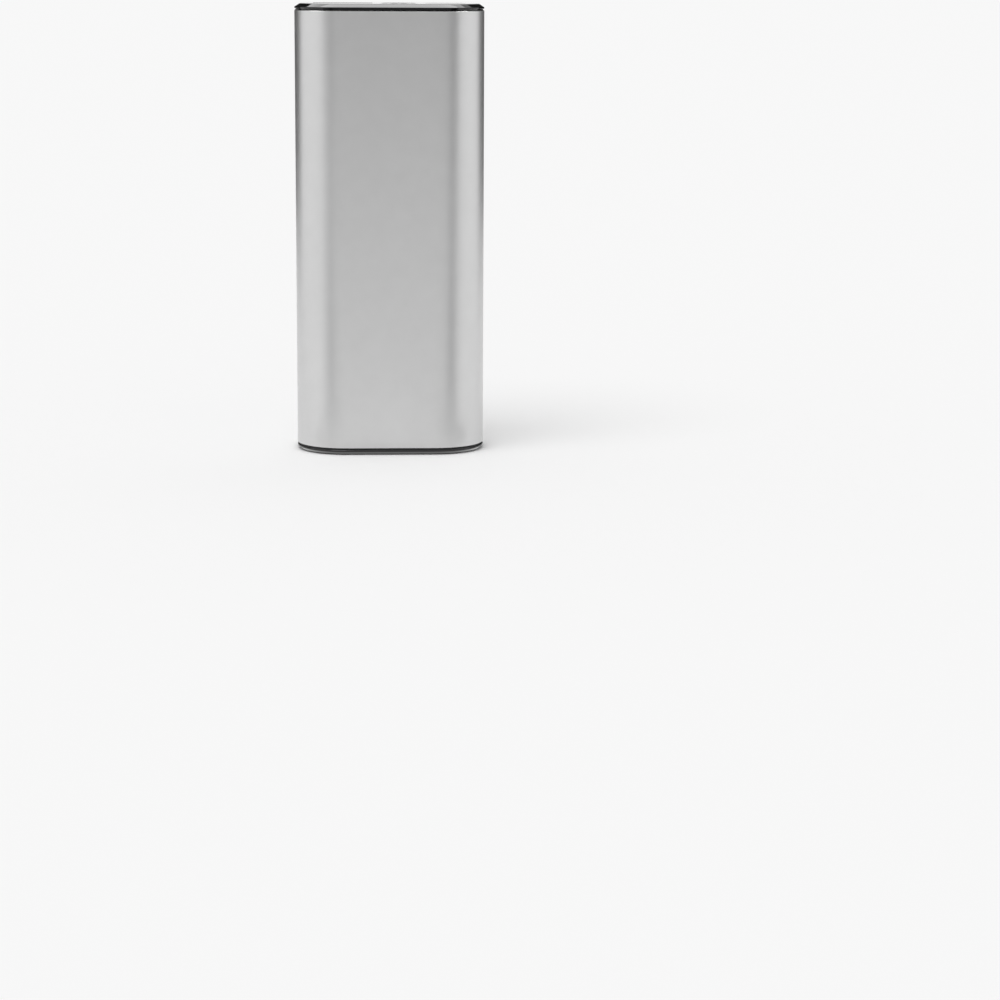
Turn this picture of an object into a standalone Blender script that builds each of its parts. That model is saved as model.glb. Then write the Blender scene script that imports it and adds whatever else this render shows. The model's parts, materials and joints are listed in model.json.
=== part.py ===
"""Rechargeable hand warmer: an aluminium tube that holds two cells, two film heaters and
a control board, with a black cover on each end. Metres, +Z up, the front at -Y. It stands
on its lower cover, with the origin under the middle of its foot. Depths are measured into
the body from the outer face of an end cover, so both ends share one set of sizes."""

import math

import bmesh
import bpy
from mathutils import Matrix

MM = 0.001

# Gaps between pieces that touch in the real product
SEAT_GAP = 0.2 * MM
LOOSE_GAP = 0.3 * MM
OVERRUN = 1.0 * MM

# Cells and what carries them
CELL_RADIUS = 9.15 * MM
CELL_LENGTH = 65.0 * MM
CELL_SPACING = 1.5 * MM
CELL_EDGE = 0.4 * MM
CELL_GROOVE_FROM_TOP = 3.4 * MM
CELL_GROOVE_WIDTH = 1.2 * MM
CELL_GROOVE_DEPTH = 0.5 * MM
CELL_CRIMP = 0.9 * MM
CELL_NUB_RADIUS = 2.9 * MM
CELL_NUB_HEIGHT = 0.7 * MM
BORE_GAP = 0.25 * MM
CRADLE_SIDE_WALL = 1.3 * MM
CRADLE_FACE_WALL = 0.8 * MM
NICKEL_THICKNESS = 0.2 * MM
NICKEL_WIDTH = 10.0 * MM
NICKEL_END = 4.0 * MM
NICKEL_CORNER = 1.0 * MM
INSULATOR_THICKNESS = 0.3 * MM
TERMINAL_POCKET_GAP = 0.9 * MM

# Tube
TUBE_WALL = 1.2 * MM
TUBE_SLIDE_GAP = 0.2 * MM
TUBE_CHAMFER = 0.25 * MM
SIDE_FLAT = 2.6 * MM

# Heaters, their pads and the temperature sensor
HEATER_THICKNESS = 0.5 * MM
HEATER_PAST_FLAT = 1.2 * MM
HEATER_END_MARGIN = 7.4 * MM
HEATER_CORNER = 2.0 * MM
PAD_THICKNESS = 0.5 * MM
PAD_OVERHANG = 0.8 * MM
PAD_SHORT_OF_HEATER = 7.0 * MM
SENSOR_WIDTH = 2.4 * MM
SENSOR_HEIGHT = 1.6 * MM
SENSOR_THICKNESS = 0.4 * MM
SENSOR_CORNER = 0.3 * MM

# End covers
COVER_THICKNESS = 1.2 * MM
COVER_SLOPE_RISE = 0.8 * MM
COVER_SLOPE_RUN = 1.2 * MM
COVER_EDGE = 0.1 * MM
SPIGOT_WALL = 0.8 * MM
PORT_CHAMFER = 0.25 * MM

# End frames and the screws that hold them
FRAME_RIM_WALL = 1.2 * MM
FRAME_EDGE = 0.2 * MM
WEB_THICKNESS = 1.5 * MM
SCREW_RADIUS = 0.8 * MM
SCREW_HEAD_RADIUS = 1.5 * MM
SCREW_HEAD_HEIGHT = 1.1 * MM
SCREW_HEAD_EDGE = 0.35 * MM
SCREW_LENGTH = 8.0 * MM
SCREW_TIP = 0.5 * MM
SCREW_HOLE_GAP = 0.2 * MM
SCREW_HOLE_SPARE = 0.5 * MM
RECESS_LENGTH = 1.7 * MM
RECESS_WIDTH = 0.4 * MM
RECESS_DEPTH = 0.6 * MM
SCREW_HEAD_ROOM = 0.4 * MM

# Chassis
CHASSIS_FLOOR = 1.0 * MM
BULKHEAD_THICKNESS = 1.5 * MM
BAY_HEIGHT = 25.3 * MM
BAY_SIDE_WALL = 1.4 * MM
BAY_FACE_WALL = 1.2 * MM
BAY_CORNER_INSET = 0.1 * MM
BOSS_WALL = 1.2 * MM
BOSS_BELOW_HOLE = 2.5 * MM
BOSS_BOARD_GAP = 0.55 * MM
BOSS_GUIDE_GAP = 0.6 * MM

# Circuit board and what stands on it
BOARD_THICKNESS = 1.2 * MM
BOARD_EDGE_GAP = 0.5 * MM
BOARD_CORNER = 1.0 * MM
BOARD_SCREW_RISE = 3.3 * MM
BOARD_SCREW_LENGTH = 5.0 * MM
POST_WALL = 1.0 * MM
POST_GAP = 0.6 * MM
WIRE_COLUMN_X = -0.55 * MM
WIRE_COLUMN_WIDTH = 3.9 * MM
CONTROLLER_SIDE = 5.0 * MM
CHARGER_SIDE = 4.0 * MM
CHIP_THICKNESS = 0.9 * MM
CHIP_EDGE = 0.15 * MM
CONTROLLER_SHARE = 0.27
CHARGER_SHARE = 0.72
INDUCTOR_SIDE = 7.0 * MM
INDUCTOR_HEIGHT = 4.0 * MM
INDUCTOR_CORNER = 1.2 * MM
INDUCTOR_EDGE = 0.4 * MM
INDUCTOR_SHARE = 0.25
CAPACITOR_RADIUS = 2.0 * MM
CAPACITOR_HEIGHT = 5.4 * MM
CAPACITOR_BASE = 0.8 * MM
CAPACITOR_NECK = 0.2 * MM
CAPACITOR_EDGE = 0.3 * MM
CAPACITOR_SPACING = 1.2 * MM
CAPACITOR_SHARE = 0.7
LED_WIDTH = 1.6 * MM
LED_HEIGHT = 0.8 * MM
LED_THICKNESS = 0.6 * MM
LED_EDGE = 0.1 * MM

# Sockets
SOCKET_RECESS = 0.3 * MM
SOCKET_OPENING_GAP = 0.2 * MM
SOCKET_WALL = 0.3 * MM
SOCKET_ROW_MARGIN = 0.5 * MM
SOCKET_ROW_SPACING = 2.6 * MM
TONGUE_FIT_GAP = 0.2 * MM
USB_A_WIDTH = 13.2 * MM
USB_A_HEIGHT = 5.7 * MM
USB_A_LENGTH = 14.0 * MM
USB_A_CORNER = 0.8 * MM
USB_A_TONGUE_SIDE_GAP = 0.75 * MM
USB_A_TONGUE_THICKNESS = 1.84 * MM
USB_A_TONGUE_RECESS = 1.0 * MM
USB_A_BLOCK = 4.5 * MM
USB_C_WIDTH = 8.94 * MM
USB_C_HEIGHT = 3.2 * MM
USB_C_LENGTH = 8.4 * MM
USB_C_TONGUE_SIDE_GAP = 0.82 * MM
USB_C_TONGUE_THICKNESS = 0.7 * MM
USB_C_TONGUE_RECESS = 0.9 * MM
USB_C_BLOCK = 2.2 * MM
USB_C_FOOT = 2.0 * MM

# Button and the switch that it presses
BUTTON_RADIUS = 3.75 * MM
BUTTON_RECESS = 0.2 * MM
BUTTON_EDGE = 0.3 * MM
BUTTON_DISH = 0.15 * MM
BUTTON_HOLE_GAP = 0.2 * MM
BUTTON_FLANGE = 0.8 * MM
BUTTON_FLANGE_THICKNESS = 0.7 * MM
STEM_RADIUS = 1.2 * MM
STEM_HOLE_GAP = 0.25 * MM
STEM_INSIDE_WEB = 0.4 * MM
PLUNGER_RADIUS = 0.9 * MM
PLUNGER_STAND = 1.9 * MM
PLUNGER_IN_BASE = 1.9 * MM
PLUNGER_GAP = 0.25 * MM
PLUNGER_ROOM = 0.8 * MM
PLUNGER_EDGE = 0.15 * MM
SWITCH_WIDTH = 6.0 * MM
SWITCH_REAR_WALL = 1.0 * MM
SWITCH_HEIGHT = 4.5 * MM
SWITCH_EDGE = 0.2 * MM

# Charge lights and their clear guide
LIGHT_COUNT = 4
LIGHT_PITCH = 2.4 * MM
PIP_RADIUS = 0.6 * MM
PIP_HOLE_GAP = 0.2 * MM
PIP_RECESS = 0.1 * MM
PIP_FROM_GUIDE_FRONT = 0.8 * MM
GUIDE_END = 0.8 * MM
GUIDE_DEPTH = 2.4 * MM
GUIDE_HEIGHT = 2.1 * MM
GUIDE_CORNER = 0.3 * MM

# Wires
WIRE_RADIUS = 0.45 * MM
BATTERY_WIRE_RADIUS = 0.5 * MM
WIRE_GAP = 0.3 * MM
BATTERY_WIRE_BOARD_GAP = 0.25 * MM
BATTERY_WAY_WALL = 0.6 * MM
POSITIVE_WIRE_X = 3.0 * MM
BATTERY_WIRE_ON_BOARD = 3.5 * MM
HEATER_WIRE_SPREAD = 1.1 * MM
HEATER_WIRE_BELOW_TOP = 3.5 * MM
HEATER_WIRE_DROP = 2.4 * MM
WIRE_WINDOW_EDGE = 1.0 * MM

# How finely round shapes are divided
CORNER_STEPS = 10
FILLET_STEPS = 4
SMALL_CORNER_STEPS = 4
CELL_SIDES = 32
BUTTON_SIDES = 32
SMALL_SIDES = 12
WIRE_STEPS = 10
SMOOTH_ANGLE = math.radians(35)

# Row of openings in the top cover, centred, from the left
ROW_WIDTH = USB_A_WIDTH + BUTTON_RADIUS * 2 + USB_C_WIDTH + SOCKET_ROW_SPACING * 2
USB_A_X = (USB_A_WIDTH - ROW_WIDTH) / 2
BUTTON_X = USB_A_X + USB_A_WIDTH / 2 + SOCKET_ROW_SPACING + BUTTON_RADIUS
USB_C_X = (ROW_WIDTH - USB_C_WIDTH) / 2

# Board and screws, from the middle plane towards the front
BOARD_REAR_Y = -USB_A_HEIGHT / 2 - SEAT_GAP
BOARD_FRONT_Y = BOARD_REAR_Y - BOARD_THICKNESS
BATTERY_WIRE_Y = BOARD_FRONT_Y - BATTERY_WIRE_BOARD_GAP - BATTERY_WIRE_RADIUS
INSULATOR_HALF_Y = -BATTERY_WIRE_Y - BATTERY_WIRE_RADIUS - WIRE_GAP
SCREW_HOLE_RADIUS = SCREW_RADIUS + SCREW_HOLE_GAP
BATTERY_WAY_RADIUS = BATTERY_WIRE_RADIUS + WIRE_GAP
BOTTOM_SCREW_Y = -BATTERY_WIRE_Y + BATTERY_WAY_RADIUS + BATTERY_WAY_WALL + SCREW_HOLE_RADIUS
BOSS_RADIUS = SCREW_HOLE_RADIUS + BOSS_WALL
TOP_SCREW_Y = -BOARD_FRONT_Y + BOSS_BOARD_GAP + BOSS_RADIUS

# Section of the body: as wide and as deep as the widest and the deepest of its contents
CELL_X = CELL_RADIUS + CELL_SPACING / 2
BORE_RADIUS = CELL_RADIUS + BORE_GAP
FRAME_INSET = TUBE_WALL + TUBE_SLIDE_GAP
SPIGOT_INSET = FRAME_INSET + FRAME_RIM_WALL + TUBE_SLIDE_GAP
HALF_X = max(
    CELL_X + BORE_RADIUS + CRADLE_SIDE_WALL + FRAME_INSET,
    ROW_WIDTH / 2 + SOCKET_ROW_MARGIN + SPIGOT_WALL + SPIGOT_INSET,
)
HEATER_LAYERS = PAD_THICKNESS + HEATER_THICKNESS + SEAT_GAP * 3
HALF_Y = max(
    BORE_RADIUS + CRADLE_FACE_WALL + HEATER_LAYERS + TUBE_WALL,
    BOTTOM_SCREW_Y + SCREW_HEAD_RADIUS + SCREW_HEAD_ROOM + SPIGOT_WALL + SPIGOT_INSET,
)
CORNER_RADIUS = HALF_Y - SIDE_FLAT / 2
HEATER_HALF_X = HALF_X - CORNER_RADIUS + HEATER_PAST_FLAT
HEATER_INNER_Y = HALF_Y - TUBE_WALL - SEAT_GAP - HEATER_THICKNESS
PAD_OUTER_Y = HEATER_INNER_Y - SEAT_GAP
PAD_INNER_Y = PAD_OUTER_Y - PAD_THICKNESS
POCKET_Y = PAD_INNER_Y - SEAT_GAP

# Depths into the body at either end
TUBE_END_DEPTH = COVER_THICKNESS + SEAT_GAP
RIM_DEPTH = COVER_THICKNESS + LOOSE_GAP
WEB_DEPTH = RIM_DEPTH + SCREW_HEAD_HEIGHT + SEAT_GAP
WEB_INNER_DEPTH = WEB_DEPTH + WEB_THICKNESS
CHASSIS_DEPTH = WEB_INNER_DEPTH + LOOSE_GAP

# Heights from the foot upwards
TERMINAL_HEIGHT = SEAT_GAP * 3 + INSULATOR_THICKNESS + NICKEL_THICKNESS
FLOOR_TOP = CHASSIS_DEPTH + CHASSIS_FLOOR
CELL_BOTTOM = FLOOR_TOP + TERMINAL_HEIGHT
CELL_TOP = CELL_BOTTOM + CELL_LENGTH
BULKHEAD_BOTTOM = CELL_TOP + TERMINAL_HEIGHT
BULKHEAD_TOP = BULKHEAD_BOTTOM + BULKHEAD_THICKNESS
CHASSIS_TOP = BULKHEAD_TOP + BAY_HEIGHT
BODY_HEIGHT = CHASSIS_TOP + CHASSIS_DEPTH
HEATER_BOTTOM = CHASSIS_DEPTH + HEATER_END_MARGIN
HEATER_TOP = CHASSIS_TOP - HEATER_END_MARGIN

# Board bay
BAY_HALF_X = HALF_X - FRAME_INSET - BAY_SIDE_WALL
BAY_HALF_Y = POCKET_Y - BAY_FACE_WALL
BAY_CORNER = BAY_HALF_Y - BAY_CORNER_INSET
BOARD_BOTTOM = BULKHEAD_TOP + LOOSE_GAP
BOARD_TOP = CHASSIS_TOP
BOARD_SCREW_Z = BOARD_BOTTOM + BOARD_SCREW_RISE
SOCKET_MOUTH = BODY_HEIGHT - SOCKET_RECESS
USB_A_BOTTOM = SOCKET_MOUTH - USB_A_LENGTH
USB_C_BOTTOM = SOCKET_MOUTH - USB_C_LENGTH
USB_C_FOOT_BOTTOM = USB_C_BOTTOM - SEAT_GAP - USB_C_FOOT

# Parts on the board, to the left and right of the column that the heater wires use
COLUMN_LEFT = WIRE_COLUMN_X - WIRE_COLUMN_WIDTH / 2
COLUMN_RIGHT = WIRE_COLUMN_X + WIRE_COLUMN_WIDTH / 2
CHIP_X = COLUMN_LEFT - CONTROLLER_SIDE / 2
INDUCTOR_X = COLUMN_RIGHT + INDUCTOR_SIDE / 2
CAPACITOR_PITCH = CAPACITOR_RADIUS * 2 + CAPACITOR_SPACING
POST_RADIUS = SCREW_HOLE_RADIUS + POST_WALL
BOARD_SCREW_XS = (
    COLUMN_LEFT - CONTROLLER_SIDE - POST_GAP - POST_RADIUS,
    COLUMN_RIGHT + INDUCTOR_SIDE + POST_GAP + POST_RADIUS,
)

# Button stack
STEM_END_DEPTH = WEB_INNER_DEPTH - STEM_INSIDE_WEB
PLUNGER_TOP = BODY_HEIGHT - STEM_END_DEPTH - LOOSE_GAP
SWITCH_TOP = PLUNGER_TOP - PLUNGER_STAND

# Light guide
GUIDE_REAR_Y = BOARD_FRONT_Y - SEAT_GAP - LED_THICKNESS - SEAT_GAP
GUIDE_FRONT_Y = GUIDE_REAR_Y - GUIDE_DEPTH
PIP_Y = GUIDE_FRONT_Y + PIP_FROM_GUIDE_FRONT
GUIDE_TOP = BODY_HEIGHT - WEB_INNER_DEPTH - LOOSE_GAP
GUIDE_HALF_X = LIGHT_PITCH * (LIGHT_COUNT - 1) / 2 + GUIDE_END
TOP_SCREW_SPREAD = GUIDE_HALF_X + BOSS_GUIDE_GAP + BOSS_RADIUS
PIP_XS = [
    BUTTON_X + LIGHT_PITCH * (number - (LIGHT_COUNT - 1) / 2) for number in range(LIGHT_COUNT)
]

FRONT, REAR = -1, 1
LIES_FLAT = Matrix.Identity(4)
FACES_REAR = Matrix.Rotation(-math.pi / 2, 4, "X")
FACES_FRONT = Matrix.Rotation(math.pi / 2, 4, "X")
UPSIDE_DOWN = Matrix.Rotation(math.pi, 4, "X")


def clear_scene():
    """Removes whatever the file holds before the part is modelled."""
    for obj in list(bpy.data.objects):
        bpy.data.objects.remove(obj, do_unlink=True)


def finish(name, colour, roughness, metallic=0.0):
    """A plain Principled material with one colour, roughness and metallic value."""
    material = bpy.data.materials.new(name)
    material.use_nodes = True
    shader = material.node_tree.nodes["Principled BSDF"]
    shader.inputs["Base Color"].default_value = (*colour, 1.0)
    shader.inputs["Roughness"].default_value = roughness
    shader.inputs["Metallic"].default_value = metallic
    return material


def rounded_outline(half_x, half_y, radius, steps=SMALL_CORNER_STEPS):
    """A rounded rectangle, anticlockwise from its right side, about the origin."""
    points = []
    for quarter, (side_x, side_y) in enumerate([(1, 1), (-1, 1), (-1, -1), (1, -1)]):
        for step in range(steps + 1):
            angle = (quarter + step / steps) * math.pi / 2
            x = side_x * (half_x - radius) + radius * math.cos(angle)
            y = side_y * (half_y - radius) + radius * math.sin(angle)
            points.append((x, y))
    return points


def circle_outline(radius, sides=SMALL_SIDES):
    """A regular polygon that stands for a circle about the origin."""
    angles = [2 * math.pi * number / sides for number in range(sides)]
    return [(radius * math.cos(angle), radius * math.sin(angle)) for angle in angles]


def body_outline(inset):
    """The body's section, drawn in by an inset from its outer skin."""
    return rounded_outline(HALF_X - inset, HALF_Y - inset, CORNER_RADIUS - inset, CORNER_STEPS)


def moved(outline, x, y):
    """An outline moved to another centre."""
    return [(point_x + x, point_y + y) for point_x, point_y in outline]


def skin_between(bm, lower, upper):
    """Joins two rings of points that have the same count with a band of faces."""
    for number in range(len(lower)):
        after = (number + 1) % len(lower)
        bm.faces.new((lower[number], lower[after], upper[after], upper[number]))


def stack(bm, sections, hollow=False):
    """Skins a list of (outline, height) sections. A solid stack is closed by a face at its
    first and last section; a hollow one runs back to its first section, as a tube does."""
    rings = [[bm.verts.new((x, y, z)) for x, y in outline] for outline, z in sections]
    for lower, upper in zip(rings, rings[1:]):
        skin_between(bm, lower, upper)
    if hollow:
        skin_between(bm, rings[-1], rings[0])
    else:
        bm.faces.new(rings[0])
        bm.faces.new(rings[-1])
    return bm


def turned(bm, profile, x=0.0, y=0.0, sides=SMALL_SIDES):
    """Turns a profile of (radius, height) pairs about an upright axis."""
    return stack(bm, [(moved(circle_outline(radius, sides), x, y), z) for radius, z in profile])


def block(bm, low, high):
    """A box between its lowest and highest corners."""
    corners = [(low[0], low[1]), (high[0], low[1]), (high[0], high[1]), (low[0], high[1])]
    return stack(bm, [(corners, low[2]), (corners, high[2])])


def edged_slab(bm, outline_at, thickness, edge):
    """A slab on the ground plane whose upper edge is chamfered. outline_at gives the
    outline for an inset."""
    sections = [(0.0, 0.0), (0.0, thickness - edge), (edge, thickness)]
    return stack(bm, [(outline_at(inset), z) for inset, z in sections])


def mesh_of(name, bm):
    """Closes off a mesh under construction: doubles merged, faces outward, shaded smooth."""
    bmesh.ops.remove_doubles(bm, verts=bm.verts, dist=SEAT_GAP / 100)
    bmesh.ops.recalc_face_normals(bm, faces=bm.faces)
    mesh = bpy.data.meshes.new(name)
    bm.to_mesh(mesh)
    bm.free()
    mesh.shade_smooth()
    mesh.set_sharp_from_angle(angle=SMOOTH_ANGLE)
    return mesh


def add_object(name, mesh, place=(0.0, 0.0, 0.0), turn=LIES_FLAT):
    """Puts a mesh in the scene as an object, turned and then placed."""
    obj = bpy.data.objects.new(name, mesh)
    bpy.context.scene.collection.objects.link(obj)
    obj.rotation_euler = turn.to_euler()
    obj.location = place
    return obj


def piece(name, bm, look, place=(0.0, 0.0, 0.0), turn=LIES_FLAT):
    """One solid of the product, held by the assembly's empty."""
    mesh = mesh_of(name, bm)
    mesh.materials.append(look)
    return hold(add_object(name, mesh, place, turn))


def twin(original, name, place, turn=LIES_FLAT):
    """A second solid that shares the mesh of another."""
    return hold(add_object(name, original.data, place, turn))


def hold(obj):
    """Parents a solid to the assembly's empty, which sits at the origin."""
    obj.parent = bpy.data.objects["hand_warmer"]
    return obj


def guide(name, bm, turn=LIES_FLAT, place=(0.0, 0.0, 0.0)):
    """A shape that only serves to cut or extend others."""
    obj = add_object(name, mesh_of(name, bm), place, turn)
    obj.hide_render = True
    obj.display_type = "WIRE"
    return obj


def shape_with(target, operation, *guides):
    """Cuts guides out of a solid, or adds them to it."""
    for other in guides:
        modifier = target.modifiers.new(f"{operation.lower()} {other.name}", "BOOLEAN")
        modifier.operation = operation
        modifier.solver = "EXACT"
        modifier.object = other
    return target


def bay_half_width(y):
    """Half the width of the board bay at a distance from its middle plane."""
    rise = abs(y) - (BAY_HALF_Y - BAY_CORNER)
    return BAY_HALF_X - BAY_CORNER + math.sqrt(BAY_CORNER**2 - max(rise, 0.0) ** 2)


def level(end, depth):
    """The height of a depth into the body at the top or the bottom end."""
    return BODY_HEIGHT - depth if end == "top" else depth


# The tube and its ends


def make_tube(look):
    """Drawn tube: one wall all round, with a thin chamfer on each outer and inner edge."""
    low, high = TUBE_END_DEPTH, BODY_HEIGHT - TUBE_END_DEPTH
    bevel = TUBE_CHAMFER
    profile = [
        (bevel, low),
        (0.0, low + bevel),
        (0.0, high - bevel),
        (bevel, high),
        (TUBE_WALL - bevel, high),
        (TUBE_WALL, high - bevel),
        (TUBE_WALL, low + bevel),
        (TUBE_WALL - bevel, low),
    ]
    sections = [(body_outline(inset), z) for inset, z in profile]
    return piece("case_tube", stack(bmesh.new(), sections, hollow=True), look)


def make_cover(end, look):
    """End cover: a skin over the tube's end with a broad sloped edge all round, and a
    spigot that sits inside the end frame's rim."""
    spigot_inner = SPIGOT_INSET + SPIGOT_WALL
    spigot_end = WEB_DEPTH - LOOSE_GAP
    profile = [
        (spigot_inner, COVER_THICKNESS),
        (spigot_inner, spigot_end),
        (SPIGOT_INSET, spigot_end),
        (SPIGOT_INSET, COVER_THICKNESS),
        (COVER_EDGE, COVER_THICKNESS),
        (0.0, COVER_THICKNESS - COVER_EDGE),
        (0.0, COVER_SLOPE_RISE),
        (COVER_SLOPE_RUN, 0.0),
    ]
    sections = [(body_outline(inset), level(end, depth)) for inset, depth in profile]
    return piece(f"{end}_cover", stack(bmesh.new(), sections), look)


def make_frame(end, look):
    """End frame: a web across the tube with a rim that stands up around the screw heads."""
    rim_inner = FRAME_INSET + FRAME_RIM_WALL
    profile = [
        (FRAME_INSET + FRAME_EDGE, WEB_INNER_DEPTH),
        (FRAME_INSET, WEB_INNER_DEPTH - FRAME_EDGE),
        (FRAME_INSET, RIM_DEPTH + FRAME_EDGE),
        (FRAME_INSET + FRAME_EDGE, RIM_DEPTH),
        (rim_inner, RIM_DEPTH),
        (rim_inner, WEB_DEPTH),
    ]
    sections = [(body_outline(inset), level(end, depth)) for inset, depth in profile]
    return piece(f"{end}_frame", stack(bmesh.new(), sections), look)


def socket_outlines(grow):
    """Outlines of the two sockets in their places, grown by a gap."""
    half_height = USB_C_HEIGHT / 2
    wide = rounded_outline(
        USB_A_WIDTH / 2 + grow, USB_A_HEIGHT / 2 + grow, USB_A_CORNER + grow
    )
    small = rounded_outline(
        USB_C_WIDTH / 2 + grow, half_height + grow, half_height + grow, SMALL_CORNER_STEPS + 2
    )
    return [moved(wide, USB_A_X, 0.0), moved(small, USB_C_X, 0.0)]


def cut_top_cover(cover):
    """Opens the top cover for the sockets, the button and the light pips. The sockets and
    the button have a chamfered edge."""
    outer, inner = BODY_HEIGHT, BODY_HEIGHT - COVER_THICKNESS
    steps = [
        (0.0, inner - OVERRUN),
        (0.0, outer - PORT_CHAMFER),
        (PORT_CHAMFER, outer),
        (PORT_CHAMFER + OVERRUN, outer + OVERRUN),
    ]
    bm = bmesh.new()
    for number in range(2):
        stack(bm, [(socket_outlines(SOCKET_OPENING_GAP + grow)[number], z) for grow, z in steps])
    hole = BUTTON_RADIUS + BUTTON_HOLE_GAP
    turned(bm, [(hole + grow, z) for grow, z in steps], BUTTON_X, 0.0, BUTTON_SIDES)
    for x in PIP_XS:
        radius = PIP_RADIUS + PIP_HOLE_GAP
        turned(bm, [(radius, inner - OVERRUN), (radius, outer + OVERRUN)], x, PIP_Y)
    shape_with(cover, "DIFFERENCE", guide("top_cover_openings", bm))


def frame_screw_places(end):
    """Where the screws of an end frame stand, seen from above."""
    if end == "top":
        xs = (BUTTON_X - TOP_SCREW_SPREAD, BUTTON_X + TOP_SCREW_SPREAD)
        return [(x, y) for y in (-TOP_SCREW_Y, TOP_SCREW_Y) for x in xs]
    return [(0.0, -BOTTOM_SCREW_Y), (0.0, BOTTOM_SCREW_Y)]


def cut_frame(frame, end):
    """Opens an end frame's web for its screws and, at the top, for the sockets, the
    button's stem and the light guide."""
    low, high = sorted((level(end, WEB_INNER_DEPTH), level(end, WEB_DEPTH)))
    low, high = low - OVERRUN, high + OVERRUN
    hole = circle_outline(SCREW_HOLE_RADIUS)
    outlines = [moved(hole, x, y) for x, y in frame_screw_places(end)]
    if end == "top":
        outlines += socket_outlines(SOCKET_OPENING_GAP)
        outlines.append(moved(circle_outline(STEM_RADIUS + STEM_HOLE_GAP), BUTTON_X, 0.0))
        slot_end = PIP_RADIUS + LOOSE_GAP
        slot_half = (PIP_XS[-1] - PIP_XS[0]) / 2 + slot_end
        slot = rounded_outline(slot_half, slot_end, PIP_RADIUS)
        outlines.append(moved(slot, BUTTON_X, PIP_Y))
    bm = bmesh.new()
    for outline in outlines:
        stack(bm, [(outline, low), (outline, high)])
    shape_with(frame, "DIFFERENCE", guide(f"{end}_frame_openings", bm))


def screw_shape(length):
    """A pan-head screw: its head stands on the ground plane and its shank runs down."""
    bm = bmesh.new()
    core = SCREW_RADIUS - SCREW_TIP
    return turned(
        bm,
        [
            (core, -length),
            (SCREW_RADIUS, -length + SCREW_TIP),
            (SCREW_RADIUS, 0.0),
            (SCREW_HEAD_RADIUS, 0.0),
            (SCREW_HEAD_RADIUS, SCREW_HEAD_HEIGHT - SCREW_HEAD_EDGE),
            (SCREW_HEAD_RADIUS - SCREW_HEAD_EDGE, SCREW_HEAD_HEIGHT),
        ],
    )


def make_screw(name, length, look, place, turn):
    """A screw with a cross recess in its head."""
    screw = piece(name, screw_shape(length), look, place, turn)
    for letter, half_x, half_y in (
        ("a", RECESS_LENGTH / 2, RECESS_WIDTH / 2),
        ("b", RECESS_WIDTH / 2, RECESS_LENGTH / 2),
    ):
        bm = bmesh.new()
        top = SCREW_HEAD_HEIGHT
        block(bm, (-half_x, -half_y, top - RECESS_DEPTH), (half_x, half_y, top + OVERRUN))
        slot = guide(f"{name}_recess_{letter}", bm, turn, place)
        shape_with(screw, "DIFFERENCE", slot)
    return screw


def make_frame_screws(end, look):
    """The screws of one end frame, heads outward."""
    turn = LIES_FLAT if end == "top" else UPSIDE_DOWN
    z = level(end, WEB_DEPTH - SEAT_GAP)
    for number, (x, y) in enumerate(frame_screw_places(end), start=1):
        make_screw(f"{end}_frame_screw_{number}", SCREW_LENGTH, look, (x, y, z), turn)


# The chassis and the cells


def upright_guide(name, outlines, low, high):
    """A guide of one or more upright prisms with the same heights."""
    bm = bmesh.new()
    for outline in outlines:
        stack(bm, [(outline, low), (outline, high)])
    return guide(name, bm)


def chassis_hollows():
    """What is cut out of both halves of the chassis: the cell bores, the room for the
    terminals at either end, the board bay and the screw holes."""
    bore = circle_outline(BORE_RADIUS, CELL_SIDES)
    terminal = rounded_outline(
        CELL_X + NICKEL_END + TERMINAL_POCKET_GAP,
        NICKEL_WIDTH / 2 + TERMINAL_POCKET_GAP,
        NICKEL_CORNER + TERMINAL_POCKET_GAP,
    )
    bay = rounded_outline(BAY_HALF_X, BAY_HALF_Y, BAY_CORNER, CORNER_STEPS)
    hole = circle_outline(SCREW_HOLE_RADIUS)
    reach = SCREW_LENGTH + SCREW_HOLE_SPARE
    low_end = level("bottom", WEB_DEPTH - SEAT_GAP) + reach
    low_holes = [moved(hole, x, y) for x, y in frame_screw_places("bottom")]
    return [
        upright_guide(
            "cell_bores",
            [moved(bore, -CELL_X, 0.0), moved(bore, CELL_X, 0.0)],
            CELL_BOTTOM - SEAT_GAP,
            CELL_TOP + SEAT_GAP,
        ),
        upright_guide("lower_terminal_room", [terminal], FLOOR_TOP, CELL_BOTTOM + OVERRUN),
        upright_guide("upper_terminal_room", [terminal], CELL_TOP - OVERRUN, BULKHEAD_BOTTOM),
        upright_guide("board_bay", [bay], BULKHEAD_TOP, CHASSIS_TOP + OVERRUN),
        upright_guide("lower_screw_holes", low_holes, CHASSIS_DEPTH - OVERRUN, low_end),
    ]


def chassis_bosses():
    """Columns in the board bay that take the top frame's screws, and the holes in them."""
    reach = SCREW_LENGTH + SCREW_HOLE_SPARE
    hole_end = level("top", WEB_DEPTH - SEAT_GAP) - reach
    places = frame_screw_places("top")
    columns = [moved(circle_outline(BOSS_RADIUS), x, y) for x, y in places]
    holes = [moved(circle_outline(SCREW_HOLE_RADIUS), x, y) for x, y in places]
    return (
        upright_guide("bosses", columns, hole_end - BOSS_BELOW_HOLE, CHASSIS_TOP),
        upright_guide("boss_holes", holes, hole_end, CHASSIS_TOP + OVERRUN),
    )


def heater_recess(side):
    """The shallow pocket in a wide face of the chassis that takes a pad and a heater."""
    half_x = HEATER_HALF_X + PAD_OVERHANG + SEAT_GAP
    low, high = HEATER_BOTTOM - SEAT_GAP, HEATER_TOP + SEAT_GAP
    near, far = sorted((side * POCKET_Y, side * (HALF_Y + OVERRUN)))
    bm = block(bmesh.new(), (-half_x, near, low), (half_x, far, high))
    return guide(f"heater_recess_{'front' if side == FRONT else 'rear'}", bm)


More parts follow.
